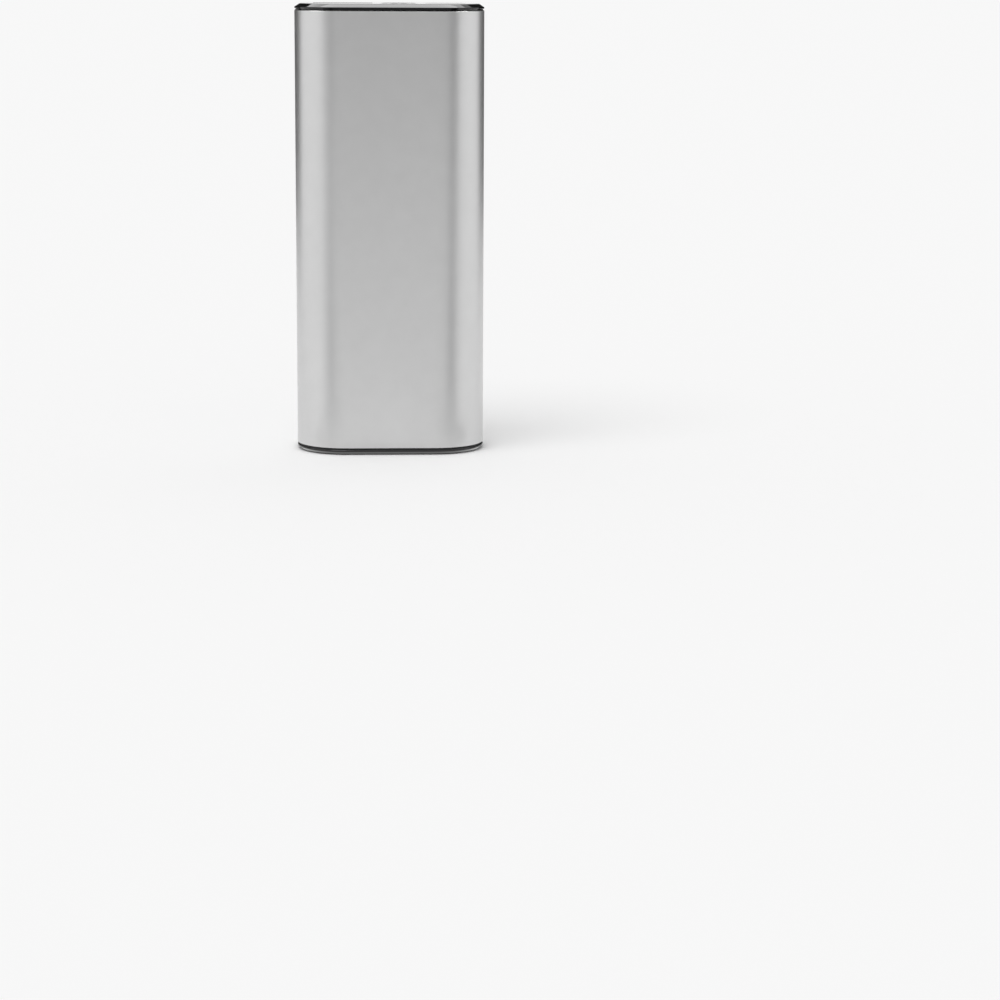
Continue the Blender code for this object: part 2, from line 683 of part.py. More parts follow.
def wire_window(side):
    """The opening through a wide wall of the bay that lets the heater's wires in."""
    half_x = HEATER_WIRE_SPREAD + WIRE_RADIUS + WIRE_WINDOW_EDGE
    middle = HEATER_TOP - HEATER_WIRE_BELOW_TOP
    half_z = WIRE_RADIUS + WIRE_WINDOW_EDGE
    near, far = sorted((side * (BAY_HALF_Y - OVERRUN), side * (POCKET_Y + OVERRUN)))
    low = (WIRE_COLUMN_X - half_x, near, middle - half_z)
    high = (WIRE_COLUMN_X + half_x, far, middle + half_z)
    return guide(f"wire_window_{'front' if side == FRONT else 'rear'}", block(bmesh.new(), low, high))


def board_posts():
    """Two posts on the rear half that carry the board, with a hole for each board screw."""
    near = BOARD_REAR_Y + SEAT_GAP
    length = BAY_HALF_Y + BAY_FACE_WALL / 2 - near
    depth = BOARD_SCREW_LENGTH + SCREW_HOLE_SPARE
    posts, holes = bmesh.new(), bmesh.new()
    for x in BOARD_SCREW_XS:
        turned(posts, [(POST_RADIUS, 0.0), (POST_RADIUS, length)], x)
        turned(holes, [(SCREW_HOLE_RADIUS, -OVERRUN), (SCREW_HOLE_RADIUS, depth)], x)
    place = (0.0, near, BOARD_SCREW_Z)
    return (
        guide("board_posts", posts, FACES_REAR, place),
        guide("board_post_holes", holes, FACES_REAR, place),
    )


def battery_wire_ways():
    """The long channel and the short hole in the front half that the battery wires run in."""
    outline = circle_outline(BATTERY_WAY_RADIUS)
    long_way = moved(outline, 0.0, BATTERY_WIRE_Y)
    short_way = moved(outline, POSITIVE_WIRE_X, BATTERY_WIRE_Y)
    return [
        upright_guide("long_wire_way", [long_way], FLOOR_TOP + SEAT_GAP, BULKHEAD_TOP + OVERRUN),
        upright_guide("short_wire_way", [short_way], BULKHEAD_BOTTOM - OVERRUN, BULKHEAD_TOP + OVERRUN),
    ]


def make_chassis(look, wire_ways):
    """Two moulded halves that meet in the middle plane and close around the cells."""
    hollows = chassis_hollows()
    bosses, boss_holes = chassis_bosses()
    posts, post_holes = board_posts()
    for side, name in ((FRONT, "chassis_front"), (REAR, "chassis_rear")):
        outline = body_outline(FRAME_INSET)
        half = piece(name, stack(bmesh.new(), [(outline, CHASSIS_DEPTH), (outline, CHASSIS_TOP)]), look)
        shape_with(half, "DIFFERENCE", *hollows, heater_recess(side), wire_window(side))
        shape_with(half, "UNION", bosses)
        if side == REAR:
            shape_with(half, "UNION", posts)
            shape_with(half, "DIFFERENCE", post_holes)
        else:
            shape_with(half, "DIFFERENCE", *wire_ways)
        shape_with(half, "DIFFERENCE", boss_holes)
        near, far = sorted((side * SEAT_GAP / 2, -side * (HALF_Y + OVERRUN)))
        other_half = block(
            bmesh.new(),
            (-HALF_X - OVERRUN, near, -OVERRUN),
            (HALF_X + OVERRUN, far, BODY_HEIGHT + OVERRUN),
        )
        shape_with(half, "DIFFERENCE", guide(f"{name}_other_side", other_half))


def make_cells(look):
    """Two cells side by side, both with the positive end up. The can is grooved under
    its crimped rim."""
    groove_top = CELL_LENGTH - CELL_GROOVE_FROM_TOP
    groove_low = groove_top - CELL_GROOVE_WIDTH
    shoulder = CELL_LENGTH - CELL_NUB_HEIGHT
    profile = [
        (CELL_RADIUS - CELL_EDGE, 0.0),
        (CELL_RADIUS, CELL_EDGE),
        (CELL_RADIUS, groove_low),
        (CELL_RADIUS - CELL_GROOVE_DEPTH, (groove_low + groove_top) / 2),
        (CELL_RADIUS, groove_top),
        (CELL_RADIUS, shoulder - CELL_CRIMP),
        (CELL_RADIUS - CELL_CRIMP, shoulder),
        (CELL_NUB_RADIUS, shoulder),
        (CELL_NUB_RADIUS, CELL_LENGTH),
    ]
    left = piece(
        "cell_left",
        turned(bmesh.new(), profile, sides=CELL_SIDES),
        look,
        (-CELL_X, 0.0, CELL_BOTTOM),
    )
    twin(left, "cell_right", (CELL_X, 0.0, CELL_BOTTOM))


def make_terminals(nickel, card, wire_ways):
    """Welded strips across both ends of the cells, each covered by a card insulator. The
    upper strip is notched where the long wire passes it."""
    half_x = CELL_X + NICKEL_END
    strip = rounded_outline(half_x, NICKEL_WIDTH / 2, NICKEL_CORNER)
    sheet = rounded_outline(half_x, INSULATOR_HALF_Y, NICKEL_CORNER)
    strip_low = CELL_BOTTOM - SEAT_GAP - NICKEL_THICKNESS
    strip_high = CELL_TOP + SEAT_GAP
    sheet_low = FLOOR_TOP + SEAT_GAP
    sheet_high = strip_high + NICKEL_THICKNESS + SEAT_GAP
    for name, outline, look, z, thickness in (
        ("nickel_strip_bottom", strip, nickel, strip_low, NICKEL_THICKNESS),
        ("nickel_strip_top", strip, nickel, strip_high, NICKEL_THICKNESS),
        ("cell_insulator_bottom", sheet, card, sheet_low, INSULATOR_THICKNESS),
        ("cell_insulator_top", sheet, card, sheet_high, INSULATOR_THICKNESS),
    ):
        piece(name, stack(bmesh.new(), [(outline, z), (outline, z + thickness)]), look)
    shape_with(bpy.data.objects["nickel_strip_top"], "DIFFERENCE", wire_ways[0])


# The heaters


def sheet_against_face(name, side, half_x, corner, low, high, inner_y, thickness, look):
    """A thin sheet that lies against a wide face of the body."""
    outline = rounded_outline(half_x, (high - low) / 2, corner)
    bm = stack(bmesh.new(), [(outline, 0.0), (outline, thickness)])
    turn = FACES_REAR if side == REAR else FACES_FRONT
    return piece(name, bm, look, (0.0, side * inner_y, (low + high) / 2), turn)


def make_heaters(film, foam, bead):
    """A film heater against each wide wall of the tube, pressed there by a soft pad. The
    front pad has a window for the temperature sensor."""
    pad_high = HEATER_TOP - PAD_SHORT_OF_HEATER
    middle = (HEATER_BOTTOM + pad_high) / 2
    for side, word in ((FRONT, "front"), (REAR, "rear")):
        sheet_against_face(
            f"heater_{word}", side, HEATER_HALF_X, HEATER_CORNER,
            HEATER_BOTTOM, HEATER_TOP, HEATER_INNER_Y, HEATER_THICKNESS, film,
        )
        pad = sheet_against_face(
            f"heater_pad_{word}", side, HEATER_HALF_X + PAD_OVERHANG, HEATER_CORNER,
            HEATER_BOTTOM, pad_high, PAD_INNER_Y, PAD_THICKNESS, foam,
        )
        if side == FRONT:
            half_x = SENSOR_WIDTH / 2 + SEAT_GAP
            half_z = SENSOR_HEIGHT / 2 + SEAT_GAP
            window = block(
                bmesh.new(),
                (-half_x, -PAD_OUTER_Y - OVERRUN, middle - half_z),
                (half_x, -PAD_INNER_Y + OVERRUN, middle + half_z),
            )
            shape_with(pad, "DIFFERENCE", guide("sensor_window", window))
    sheet_against_face(
        "thermistor", FRONT, SENSOR_WIDTH / 2, SENSOR_CORNER,
        middle - SENSOR_HEIGHT / 2, middle + SENSOR_HEIGHT / 2,
        PAD_OUTER_Y - SENSOR_THICKNESS, SENSOR_THICKNESS, bead,
    )


# The circuit board


def make_board(look):
    """The board stands across the bay, a little in front of the middle."""
    half_x = bay_half_width(BOARD_FRONT_Y) - BOARD_EDGE_GAP
    half_z = (BOARD_TOP - BOARD_BOTTOM) / 2
    middle = (BOARD_TOP + BOARD_BOTTOM) / 2
    outline = rounded_outline(half_x, half_z, BOARD_CORNER)
    bm = stack(bmesh.new(), [(outline, 0.0), (outline, BOARD_THICKNESS)])
    board = piece("main_board", bm, look, (0.0, BOARD_FRONT_Y, middle), FACES_REAR)
    holes = bmesh.new()
    for x in BOARD_SCREW_XS:
        ends = (-OVERRUN, BOARD_THICKNESS + OVERRUN)
        turned(holes, [(SCREW_HOLE_RADIUS, end) for end in ends], x)
    place = (0.0, BOARD_FRONT_Y, BOARD_SCREW_Z)
    shape_with(board, "DIFFERENCE", guide("board_holes", holes, FACES_REAR, place))


def make_board_screws(look):
    """Two screws that hold the board to the posts of the rear half."""
    y = BOARD_FRONT_Y - SEAT_GAP
    for number, x in enumerate(BOARD_SCREW_XS, start=1):
        place = (x, y, BOARD_SCREW_Z)
        make_screw(f"board_screw_{number}", BOARD_SCREW_LENGTH, look, place, FACES_FRONT)


def on_board(name, bm, look, x, z):
    """Sets a component that was modelled lying flat on the rear face of the board."""
    return piece(name, bm, look, (x, BOARD_REAR_Y + SEAT_GAP, z), FACES_REAR)


def between(low, high, share):
    """A height at a share of the way from one to another."""
    return low + (high - low) * share


def make_components(chip, core, can):
    """The larger parts on the rear face: two chips under the wide socket, and on the other
    side of the wires the inductor with two capacitors over it."""
    for name, side, share in (
        ("controller_chip", CONTROLLER_SIDE, CONTROLLER_SHARE),
        ("charger_chip", CHARGER_SIDE, CHARGER_SHARE),
    ):
        def chip_outline(inset, half=side / 2):
            return rounded_outline(half - inset, half - inset, CHIP_EDGE)

        bm = edged_slab(bmesh.new(), chip_outline, CHIP_THICKNESS, CHIP_EDGE)
        on_board(name, bm, chip, CHIP_X, between(BOARD_BOTTOM, USB_A_BOTTOM, share))

    def inductor_outline(inset):
        half = INDUCTOR_SIDE / 2 - inset
        return rounded_outline(half, half, INDUCTOR_CORNER)

    bm = edged_slab(bmesh.new(), inductor_outline, INDUCTOR_HEIGHT, INDUCTOR_EDGE)
    height = between(BOARD_BOTTOM, USB_C_FOOT_BOTTOM, INDUCTOR_SHARE)
    on_board("power_inductor", bm, core, INDUCTOR_X, height)

    profile = [
        (CAPACITOR_RADIUS, 0.0),
        (CAPACITOR_RADIUS, CAPACITOR_BASE),
        (CAPACITOR_RADIUS - CAPACITOR_NECK, CAPACITOR_BASE + CAPACITOR_NECK),
        (CAPACITOR_RADIUS, CAPACITOR_BASE + CAPACITOR_NECK * 2),
        (CAPACITOR_RADIUS, CAPACITOR_HEIGHT - CAPACITOR_EDGE),
        (CAPACITOR_RADIUS - CAPACITOR_EDGE, CAPACITOR_HEIGHT),
    ]
    height = between(BOARD_BOTTOM, USB_C_FOOT_BOTTOM, CAPACITOR_SHARE)
    first = on_board("capacitor_1", turned(bmesh.new(), profile), can, INDUCTOR_X, height)
    place = (INDUCTOR_X + CAPACITOR_PITCH, first.location.y, height)
    twin(first, "capacitor_2", place, FACES_REAR)


def make_socket_shell(name, outline_at, x, length, look):
    """A folded metal shell, open at both ends. outline_at gives its outline for an inset."""
    low, high = SOCKET_MOUTH - length, SOCKET_MOUTH
    walls = [(0.0, low), (0.0, high), (SOCKET_WALL, high), (SOCKET_WALL, low)]
    sections = [(moved(outline_at(inset), x, 0.0), z) for inset, z in walls]
    return piece(name, stack(bmesh.new(), sections, hollow=True), look)


def make_usb_a(metal, plastic):
    """The wide output socket: its shell, and an insulator with a tongue near the rear wall."""

    def outline(inset):
        return rounded_outline(USB_A_WIDTH / 2 - inset, USB_A_HEIGHT / 2 - inset, USB_A_CORNER - inset)

    make_socket_shell("usb_a_shell", outline, USB_A_X, USB_A_LENGTH, metal)
    inset = SOCKET_WALL + TONGUE_FIT_GAP
    block_top = USB_A_BOTTOM + USB_A_BLOCK
    body = moved(outline(inset), USB_A_X, 0.0)
    insulator = piece(
        "usb_a_tongue", stack(bmesh.new(), [(body, USB_A_BOTTOM), (body, block_top)]), plastic
    )
    rear = USB_A_HEIGHT / 2 - inset - TONGUE_FIT_GAP
    half = USB_A_WIDTH / 2 - SOCKET_WALL - USB_A_TONGUE_SIDE_GAP
    tongue = block(
        bmesh.new(),
        (USB_A_X - half, rear - USB_A_TONGUE_THICKNESS, block_top - OVERRUN),
        (USB_A_X + half, rear, SOCKET_MOUTH - USB_A_TONGUE_RECESS),
    )
    shape_with(insulator, "UNION", guide("usb_a_tongue_plate", tongue))


def make_usb_c(metal, plastic):
    """The small charging socket: its shell, and an insulator with a central tongue and a
    foot that stands on the board."""
    half_height = USB_C_HEIGHT / 2

    def outline(inset):
        radius = half_height - inset
        return rounded_outline(USB_C_WIDTH / 2 - inset, radius, radius, SMALL_CORNER_STEPS + 2)

    make_socket_shell("usb_c_shell", outline, USB_C_X, USB_C_LENGTH, metal)
    inset = SOCKET_WALL + TONGUE_FIT_GAP
    block_top = USB_C_BOTTOM + USB_C_BLOCK
    body = moved(outline(inset), USB_C_X, 0.0)
    low = USB_C_BOTTOM - SEAT_GAP - OVERRUN
    insulator = piece("usb_c_tongue", stack(bmesh.new(), [(body, low), (body, block_top)]), plastic)
    half = USB_C_WIDTH / 2 - SOCKET_WALL - USB_C_TONGUE_SIDE_GAP
    half_thickness = USB_C_TONGUE_THICKNESS / 2
    tongue = block(
        bmesh.new(),
        (USB_C_X - half, -half_thickness, block_top - OVERRUN),
        (USB_C_X + half, half_thickness, SOCKET_MOUTH - USB_C_TONGUE_RECESS),
    )
    foot_half = USB_C_WIDTH / 2 - inset
    foot = block(
        bmesh.new(),
        (USB_C_X - foot_half, BOARD_REAR_Y + SEAT_GAP, USB_C_FOOT_BOTTOM),
        (USB_C_X + foot_half, half_height, USB_C_BOTTOM - SEAT_GAP),
    )
    shape_with(insulator, "UNION", guide("usb_c_tongue_plate", tongue), guide("usb_c_foot", foot))


# The button, the switch and the lights


def make_button(look):
    """A round button with a shallow dish, a flange that keeps it under the cover and a
    stem that reaches the switch. Its origin is on its axis, at the outer face."""
    face = -BUTTON_RECESS
    flange_top = -COVER_THICKNESS - LOOSE_GAP
    flange_low = flange_top - BUTTON_FLANGE_THICKNESS
    rim = BUTTON_RADIUS - BUTTON_EDGE
    profile = [
        (STEM_RADIUS, -STEM_END_DEPTH),
        (STEM_RADIUS, flange_low),
        (BUTTON_RADIUS + BUTTON_FLANGE, flange_low),
        (BUTTON_RADIUS + BUTTON_FLANGE, flange_top),
        (BUTTON_RADIUS, flange_top),
    ]
    for step in range(FILLET_STEPS + 1):
        angle = math.pi / 2 * step / FILLET_STEPS
        drop = BUTTON_EDGE * (1 - math.sin(angle))
        profile.append((rim + BUTTON_EDGE * math.cos(angle), face - drop))
    for step in range(1, FILLET_STEPS):
        radius = rim * (1 - step / FILLET_STEPS)
        profile.append((radius, face - BUTTON_DISH * (1 - (radius / rim) ** 2)))
    bm = turned(bmesh.new(), profile, sides=BUTTON_SIDES)
    piece("power_button", bm, look, (BUTTON_X, 0.0, BODY_HEIGHT))


def make_switch(plastic, nylon):
    """A push switch on the board, with its plunger on the button's axis. The plunger's
    origin is on that axis, at its tip."""
    near = BOARD_REAR_Y + SEAT_GAP
    half = SWITCH_WIDTH / 2
    radius = PLUNGER_RADIUS + PLUNGER_GAP
    low = (BUTTON_X - half, near, SWITCH_TOP - SWITCH_HEIGHT)
    high = (BUTTON_X + half, radius + SWITCH_REAR_WALL, SWITCH_TOP)
    base = piece("switch_base", block(bmesh.new(), low, high), plastic)
    bevel = base.modifiers.new("edges", "BEVEL")
    bevel.width = SWITCH_EDGE
    bevel.segments = 1
    bore_low = SWITCH_TOP - PLUNGER_IN_BASE - PLUNGER_ROOM
    bore = turned(bmesh.new(), [(radius, bore_low), (radius, SWITCH_TOP + OVERRUN)], BUTTON_X)
    shape_with(base, "DIFFERENCE", guide("plunger_bore", bore))
    length = PLUNGER_STAND + PLUNGER_IN_BASE
    profile = [
        (PLUNGER_RADIUS, -length),
        (PLUNGER_RADIUS, -PLUNGER_EDGE),
        (PLUNGER_RADIUS - PLUNGER_EDGE, 0.0),
    ]
    piece("switch_plunger", turned(bmesh.new(), profile), nylon, (BUTTON_X, 0.0, PLUNGER_TOP))


def make_lights(look):
    """Small lights on the front face of the board, each behind its pip of the guide."""
    z = GUIDE_TOP - GUIDE_HEIGHT / 2

    def outline(inset):
        return rounded_outline(LED_WIDTH / 2 - inset, LED_HEIGHT / 2 - inset, LED_EDGE)

    first = None
    for number, x in enumerate(PIP_XS, start=1):
        place = (x, BOARD_FRONT_Y - SEAT_GAP, z)
        if first is None:
            bm = edged_slab(bmesh.new(), outline, LED_THICKNESS, LED_EDGE)
            first = piece(f"led_{number}", bm, look, place, FACES_FRONT)
        else:
            twin(first, f"led_{number}", place, FACES_FRONT)


def make_light_guide(look):
    """One clear piece: a bar before the lights, with a round pip up to the cover for each."""
    middle_y = (GUIDE_REAR_Y + GUIDE_FRONT_Y) / 2
    outline = moved(rounded_outline(GUIDE_HALF_X, GUIDE_DEPTH / 2, GUIDE_CORNER), BUTTON_X, middle_y)
    bar = stack(bmesh.new(), [(outline, GUIDE_TOP - GUIDE_HEIGHT), (outline, GUIDE_TOP)])
    guide_piece = piece("light_guide", bar, look)
    pips = bmesh.new()
    for x in PIP_XS:
        low, high = GUIDE_TOP - GUIDE_HEIGHT / 2, BODY_HEIGHT - PIP_RECESS
        turned(pips, [(PIP_RADIUS, low), (PIP_RADIUS, high)], x, PIP_Y)
    shape_with(guide_piece, "UNION", guide("light_pips", pips))


# The wires


def wire(name, points, radius, look):
    """A round wire along its points, with flat ends."""
    curve = bpy.data.curves.new(name, "CURVE")
    curve.dimensions = "3D"
    curve.bevel_depth = radius
    curve.bevel_resolution = 2
    curve.use_fill_caps = True
    spline = curve.splines.new("POLY")
    spline.points.add(len(points) - 1)
    for point, place in zip(spline.points, points):
        point.co = (*place, 1.0)
    curve.materials.append(look)
    return hold(add_object(name, curve))


def make_battery_wires(red, black):
    """Two wires that rise in front of the board: one from the lower strip, through the
    channel between the cells, and a short one from the upper strip."""
    end = BOARD_BOTTOM + BATTERY_WIRE_ON_BOARD
    top_strip = CELL_TOP + SEAT_GAP + NICKEL_THICKNESS + SEAT_GAP
    for name, x, low, look in (
        ("battery_lead_negative", 0.0, CELL_BOTTOM, black),
        ("battery_lead_positive", POSITIVE_WIRE_X, top_strip, red),
    ):
        points = [(x, BATTERY_WIRE_Y, z) for z in (low, (low + end) / 2, end)]
        wire(name, points, BATTERY_WIRE_RADIUS, look)


def make_heater_wires(look):
    """Two wires from each heater through its window to the board, each with an easy S."""
    start_z = HEATER_TOP - HEATER_WIRE_BELOW_TOP
    number = 0
    for start_y, end_y in (
        (-HEATER_INNER_Y + SEAT_GAP, BOARD_FRONT_Y - SEAT_GAP),
        (HEATER_INNER_Y - SEAT_GAP, BOARD_REAR_Y + SEAT_GAP),
    ):
        for spread in (-HEATER_WIRE_SPREAD, HEATER_WIRE_SPREAD):
            number += 1
            points = []
            for step in range(WIRE_STEPS + 1):
                share = step / WIRE_STEPS
                eased = share * share * (3 - 2 * share)
                y = start_y + (end_y - start_y) * share
                z = start_z - HEATER_WIRE_DROP * eased
                points.append((WIRE_COLUMN_X + spread, y, z))
            wire(f"heater_lead_{number}", points, WIRE_RADIUS, look)


def build():
    """Makes every solid of the product."""
    clear_scene()
    bpy.context.scene.collection.objects.link(bpy.data.objects.new("hand_warmer", None))

    aluminium = finish("satin aluminium", (0.60, 0.60, 0.61), 0.35, 1.0)
    gloss_black = finish("gloss black moulding", (0.012, 0.012, 0.013), 0.12)
    black_nylon = finish("black nylon", (0.02, 0.02, 0.022), 0.5)
    white_moulding = finish("white moulding", (0.75, 0.74, 0.70), 0.5)
    zinc_steel = finish("zinc plated steel", (0.62, 0.62, 0.60), 0.3, 1.0)
    nickel = finish("nickel", (0.66, 0.62, 0.56), 0.28, 1.0)
    cell_sleeve = finish("cell sleeve", (0.05, 0.20, 0.42), 0.35)
    card = finish("insulating card", (0.55, 0.46, 0.30), 0.85)
    film = finish("orange polyimide film", (0.62, 0.26, 0.03), 0.3)
    foam = finish("grey silicone foam", (0.22, 0.22, 0.23), 0.8)
    bead = finish("sensor epoxy", (0.03, 0.03, 0.03), 0.4)
    green_board = finish("green board", (0.01, 0.13, 0.06), 0.35)
    chip = finish("chip epoxy", (0.015, 0.015, 0.017), 0.55)
    core = finish("ferrite", (0.05, 0.05, 0.055), 0.6)
    can = finish("capacitor can", (0.70, 0.70, 0.72), 0.3, 1.0)
    clear = finish("clear polycarbonate", (0.85, 0.87, 0.88), 0.08)
    lamp = finish("light chip", (0.85, 0.83, 0.60), 0.3)
    red_wire = finish("red wire", (0.50, 0.02, 0.02), 0.4)
    black_wire = finish("black wire", (0.02, 0.02, 0.02), 0.4)
    white_wire = finish("white wire", (0.72, 0.71, 0.68), 0.4)

    make_tube(aluminium)
    for end in ("top", "bottom"):
        cover = make_cover(end, gloss_black)
        if end == "top":
            cut_top_cover(cover)
        cut_frame(make_frame(end, black_nylon), end)
        make_frame_screws(end, zinc_steel)
    wire_ways = battery_wire_ways()
    make_chassis(white_moulding, wire_ways)
    make_cells(cell_sleeve)
    make_terminals(nickel, card, wire_ways)
    make_heaters(film, foam, bead)
    make_board(green_board)
    make_board_screws(zinc_steel)
    make_components(chip, core, can)
    make_usb_a(nickel, white_moulding)
    make_usb_c(nickel, black_nylon)
    make_button(gloss_black)
    make_switch(black_nylon, white_moulding)
    make_lights(lamp)
    make_light_guide(clear)
    make_battery_wires(red_wire, black_wire)
    make_heater_wires(white_wire)


build()
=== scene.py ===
# %% [markdown]
# # A rechargeable hand warmer
#
# This lesson dresses a hand warmer for a product picture. It is a satin aluminium tube
# with a glossy black cover on each end. The upper cover has a wide and a small charging
# socket, a push button and four charge lights.
#
# The construction is already there: the frame below loads every piece at its real size
# and place. Here each piece gets its finish, and the pieces that show get a finer
# surface. Everything is in metres, upright on Z, with the front at -Y.

# %% Load the frame
import json
import math

import bmesh
import bpy
from mathutils import Matrix, Vector
from mathutils.geometry import delaunay_2d_cdt


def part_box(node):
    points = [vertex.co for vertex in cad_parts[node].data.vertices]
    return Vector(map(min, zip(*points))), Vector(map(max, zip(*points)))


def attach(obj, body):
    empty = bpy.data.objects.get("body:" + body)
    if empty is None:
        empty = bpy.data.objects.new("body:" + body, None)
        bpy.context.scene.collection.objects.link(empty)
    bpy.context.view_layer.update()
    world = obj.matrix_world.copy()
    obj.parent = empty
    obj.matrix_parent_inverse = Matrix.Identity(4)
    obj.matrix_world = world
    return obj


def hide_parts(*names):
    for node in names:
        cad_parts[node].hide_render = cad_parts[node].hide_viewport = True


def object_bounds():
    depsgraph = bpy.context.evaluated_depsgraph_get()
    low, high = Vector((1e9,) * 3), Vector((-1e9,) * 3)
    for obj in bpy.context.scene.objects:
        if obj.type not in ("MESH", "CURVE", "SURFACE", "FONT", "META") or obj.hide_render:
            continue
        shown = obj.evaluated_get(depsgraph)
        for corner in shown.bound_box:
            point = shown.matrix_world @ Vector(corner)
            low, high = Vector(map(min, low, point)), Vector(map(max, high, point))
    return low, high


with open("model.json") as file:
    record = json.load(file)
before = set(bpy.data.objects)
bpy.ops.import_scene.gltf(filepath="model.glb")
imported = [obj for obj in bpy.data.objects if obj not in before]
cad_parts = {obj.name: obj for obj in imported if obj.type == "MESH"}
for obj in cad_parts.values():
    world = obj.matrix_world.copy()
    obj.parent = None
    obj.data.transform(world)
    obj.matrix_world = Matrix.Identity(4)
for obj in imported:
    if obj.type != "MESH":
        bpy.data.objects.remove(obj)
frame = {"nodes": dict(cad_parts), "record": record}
cad_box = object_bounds()
nodes = frame["nodes"]
MM = 0.001

# %% [markdown]
# ## The body's sizes
#
# Nothing is measured twice. The width, depth and height come from the boxes of the tube
# and the covers. The corner radius can't be read from a box, so it is worked out as the
# construction does it: half the depth, less half of the narrow flat along each side.

# %% Read the main sizes from the frame
tube_low, tube_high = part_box("case_tube")
HALF_X, HALF_Y = tube_high.x, tube_high.y
BODY_TOP, BODY_FOOT = cad_box[1][2], cad_box[0][2]
SIDE_FLAT = 2.6 * MM
CORNER_RADIUS = HALF_Y - SIDE_FLAT / 2
print("body", [round(size / MM, 2) for size in (HALF_X * 2, HALF_Y * 2, BODY_TOP - BODY_FOOT)])

# %% [markdown]
# ## The camera
#
# A long lens from a little above the top: the sides stay parallel and the upper cover is
# only a thin bright line. The aim is given as three turns. The yaw points the lens to the
# right of the object, the pitch tips it down, and the roll is what a camera on a stand
# always has a little of.

# %% Set up the camera
CAMERA_PLACE = Vector((-8.802, -680.0, 116.702)) * MM
CAMERA_YAW = math.radians(2.95245)
CAMERA_PITCH = math.radians(-10.80956)
CAMERA_ROLL = math.radians(0.28264)

camera_data = bpy.data.cameras.new("camera")
camera_data.lens = 103.941
camera_data.sensor_width = 36.0
camera_data.clip_start = 10 * MM
camera_data.clip_end = 100.0
scene = bpy.context.scene


def enter(name, data):
    """A new object in the scene."""
    obj = bpy.data.objects.new(name, data)
    scene.collection.objects.link(obj)
    return obj


camera = enter("camera", camera_data)
scene.camera = camera
upright = Matrix.Rotation(math.pi / 2, 4, "X")
camera.matrix_world = (
    Matrix.Translation(CAMERA_PLACE)
    @ Matrix.Rotation(-CAMERA_YAW, 4, "Z")
    @ Matrix.Rotation(CAMERA_PITCH, 4, "X")
    @ upright
    @ Matrix.Rotation(CAMERA_ROLL, 4, "Z")
)
print("camera at", [round(x, 4) for x in camera.matrix_world.translation])

# %% [markdown]
# ## Colour and nodes
#
# Colours are written as the hex values that a paint chart gives, and a shader wants them
# linear, so one function turns them. A second small function adds a node, sets its
# properties and wires its inputs, which keeps each material to a few lines.

# %% Two helpers for every material
# Short names for the kinds of node that are used most.
MATH, VECTOR_MATH, MAP_RANGE = "ShaderNodeMath", "ShaderNodeVectorMath", "ShaderNodeMapRange"
NOISE, SPLIT, MIX = "ShaderNodeTexNoise", "ShaderNodeSeparateXYZ", "ShaderNodeMix"


def linear(hex_colour):
    """An sRGB hex colour such as #808080 as linear red, green, blue and alpha."""
    channels = [int(hex_colour[start : start + 2], 16) / 255 for start in (1, 3, 5)]
    return (*[c / 12.92 if c <= 0.04045 else ((c + 0.055) / 1.055) ** 2.4 for c in channels], 1.0)


def add(tree, kind, inputs=(), **settings):
    """Adds a node. Settings are its properties. Inputs go by name, or else are the first
    ones in their order. Each is a value, a socket to link, or a node to link, whose first
    output in use is taken."""
    node = tree.nodes.new(kind)
    for name, value in settings.items():
        setattr(node, name, value)
    for name, value in inputs.items() if isinstance(inputs, dict) else enumerate(inputs):
        if isinstance(value, bpy.types.Node):
            value = next(socket for socket in value.outputs if socket.enabled)
        if isinstance(value, bpy.types.NodeSocket):
            tree.links.new(value, node.inputs[name])
        else:
            node.inputs[name].default_value = value
    return node


print("grey #808080 is", round(linear("#808080")[0], 3), "in linear light")

# %% [markdown]
# ## The studio
#
# Satin metal has almost no colour of its own: it shows what stands around it. So the
# room is built first, and with care. A white room gives the white background. A grey card
# stands behind the camera, and the flat front face shows it, which makes the face darker
# than the rounded sides. The pale floor and a white bounce card brighten the same face
# towards its foot. A narrow card on each side of the middle, with a ribbon on the floor in
# front of it, draws the soft darker stripe where the face turns into the corner. A dark
# card on each side behind the object draws a thin dark line along both edges. A bright one
# leans over from the back, and a smaller one on each side of it: they light the sloped edge
# of the upper cover from corner to corner.
#
# The cards are only there for reflections, so the camera doesn't see them, and they throw
# neither shadow nor light. A photographer gets the same by cutting the object out later.

# %% Make the white room and the floor
scene.view_settings.view_transform = "Standard"

ROOM_LIGHT = 0.72
world = bpy.data.worlds.new("white room")
scene.world = world
world.use_nodes = True
world.node_tree.nodes.clear()
rays = add(world.node_tree, "ShaderNodeLightPath")
seen = rays.outputs["Is Camera Ray"]
for kind_of_ray in ("Is Glossy Ray", "Is Transmission Ray"):
    pair = (seen, rays.outputs[kind_of_ray])
    seen = add(world.node_tree, MATH, pair, operation="MAXIMUM")
strength = add(world.node_tree, MAP_RANGE, {"Value": seen, "To Min": ROOM_LIGHT, "To Max": 1.0})
white = {"Color": linear("#FFFFFF"), "Strength": strength}
white = add(world.node_tree, "ShaderNodeBackground", white)
add(world.node_tree, "ShaderNodeOutputWorld", {"Surface": white})

FLOOR_HALF = 12.0
floor_bm = bmesh.new()
bmesh.ops.create_grid(floor_bm, x_segments=1, y_segments=1, size=FLOOR_HALF)
floor_mesh = bpy.data.meshes.new("floor")
floor_bm.to_mesh(floor_mesh)
floor_bm.free()
floor = enter("floor", floor_mesh)
floor.location.z = BODY_FOOT

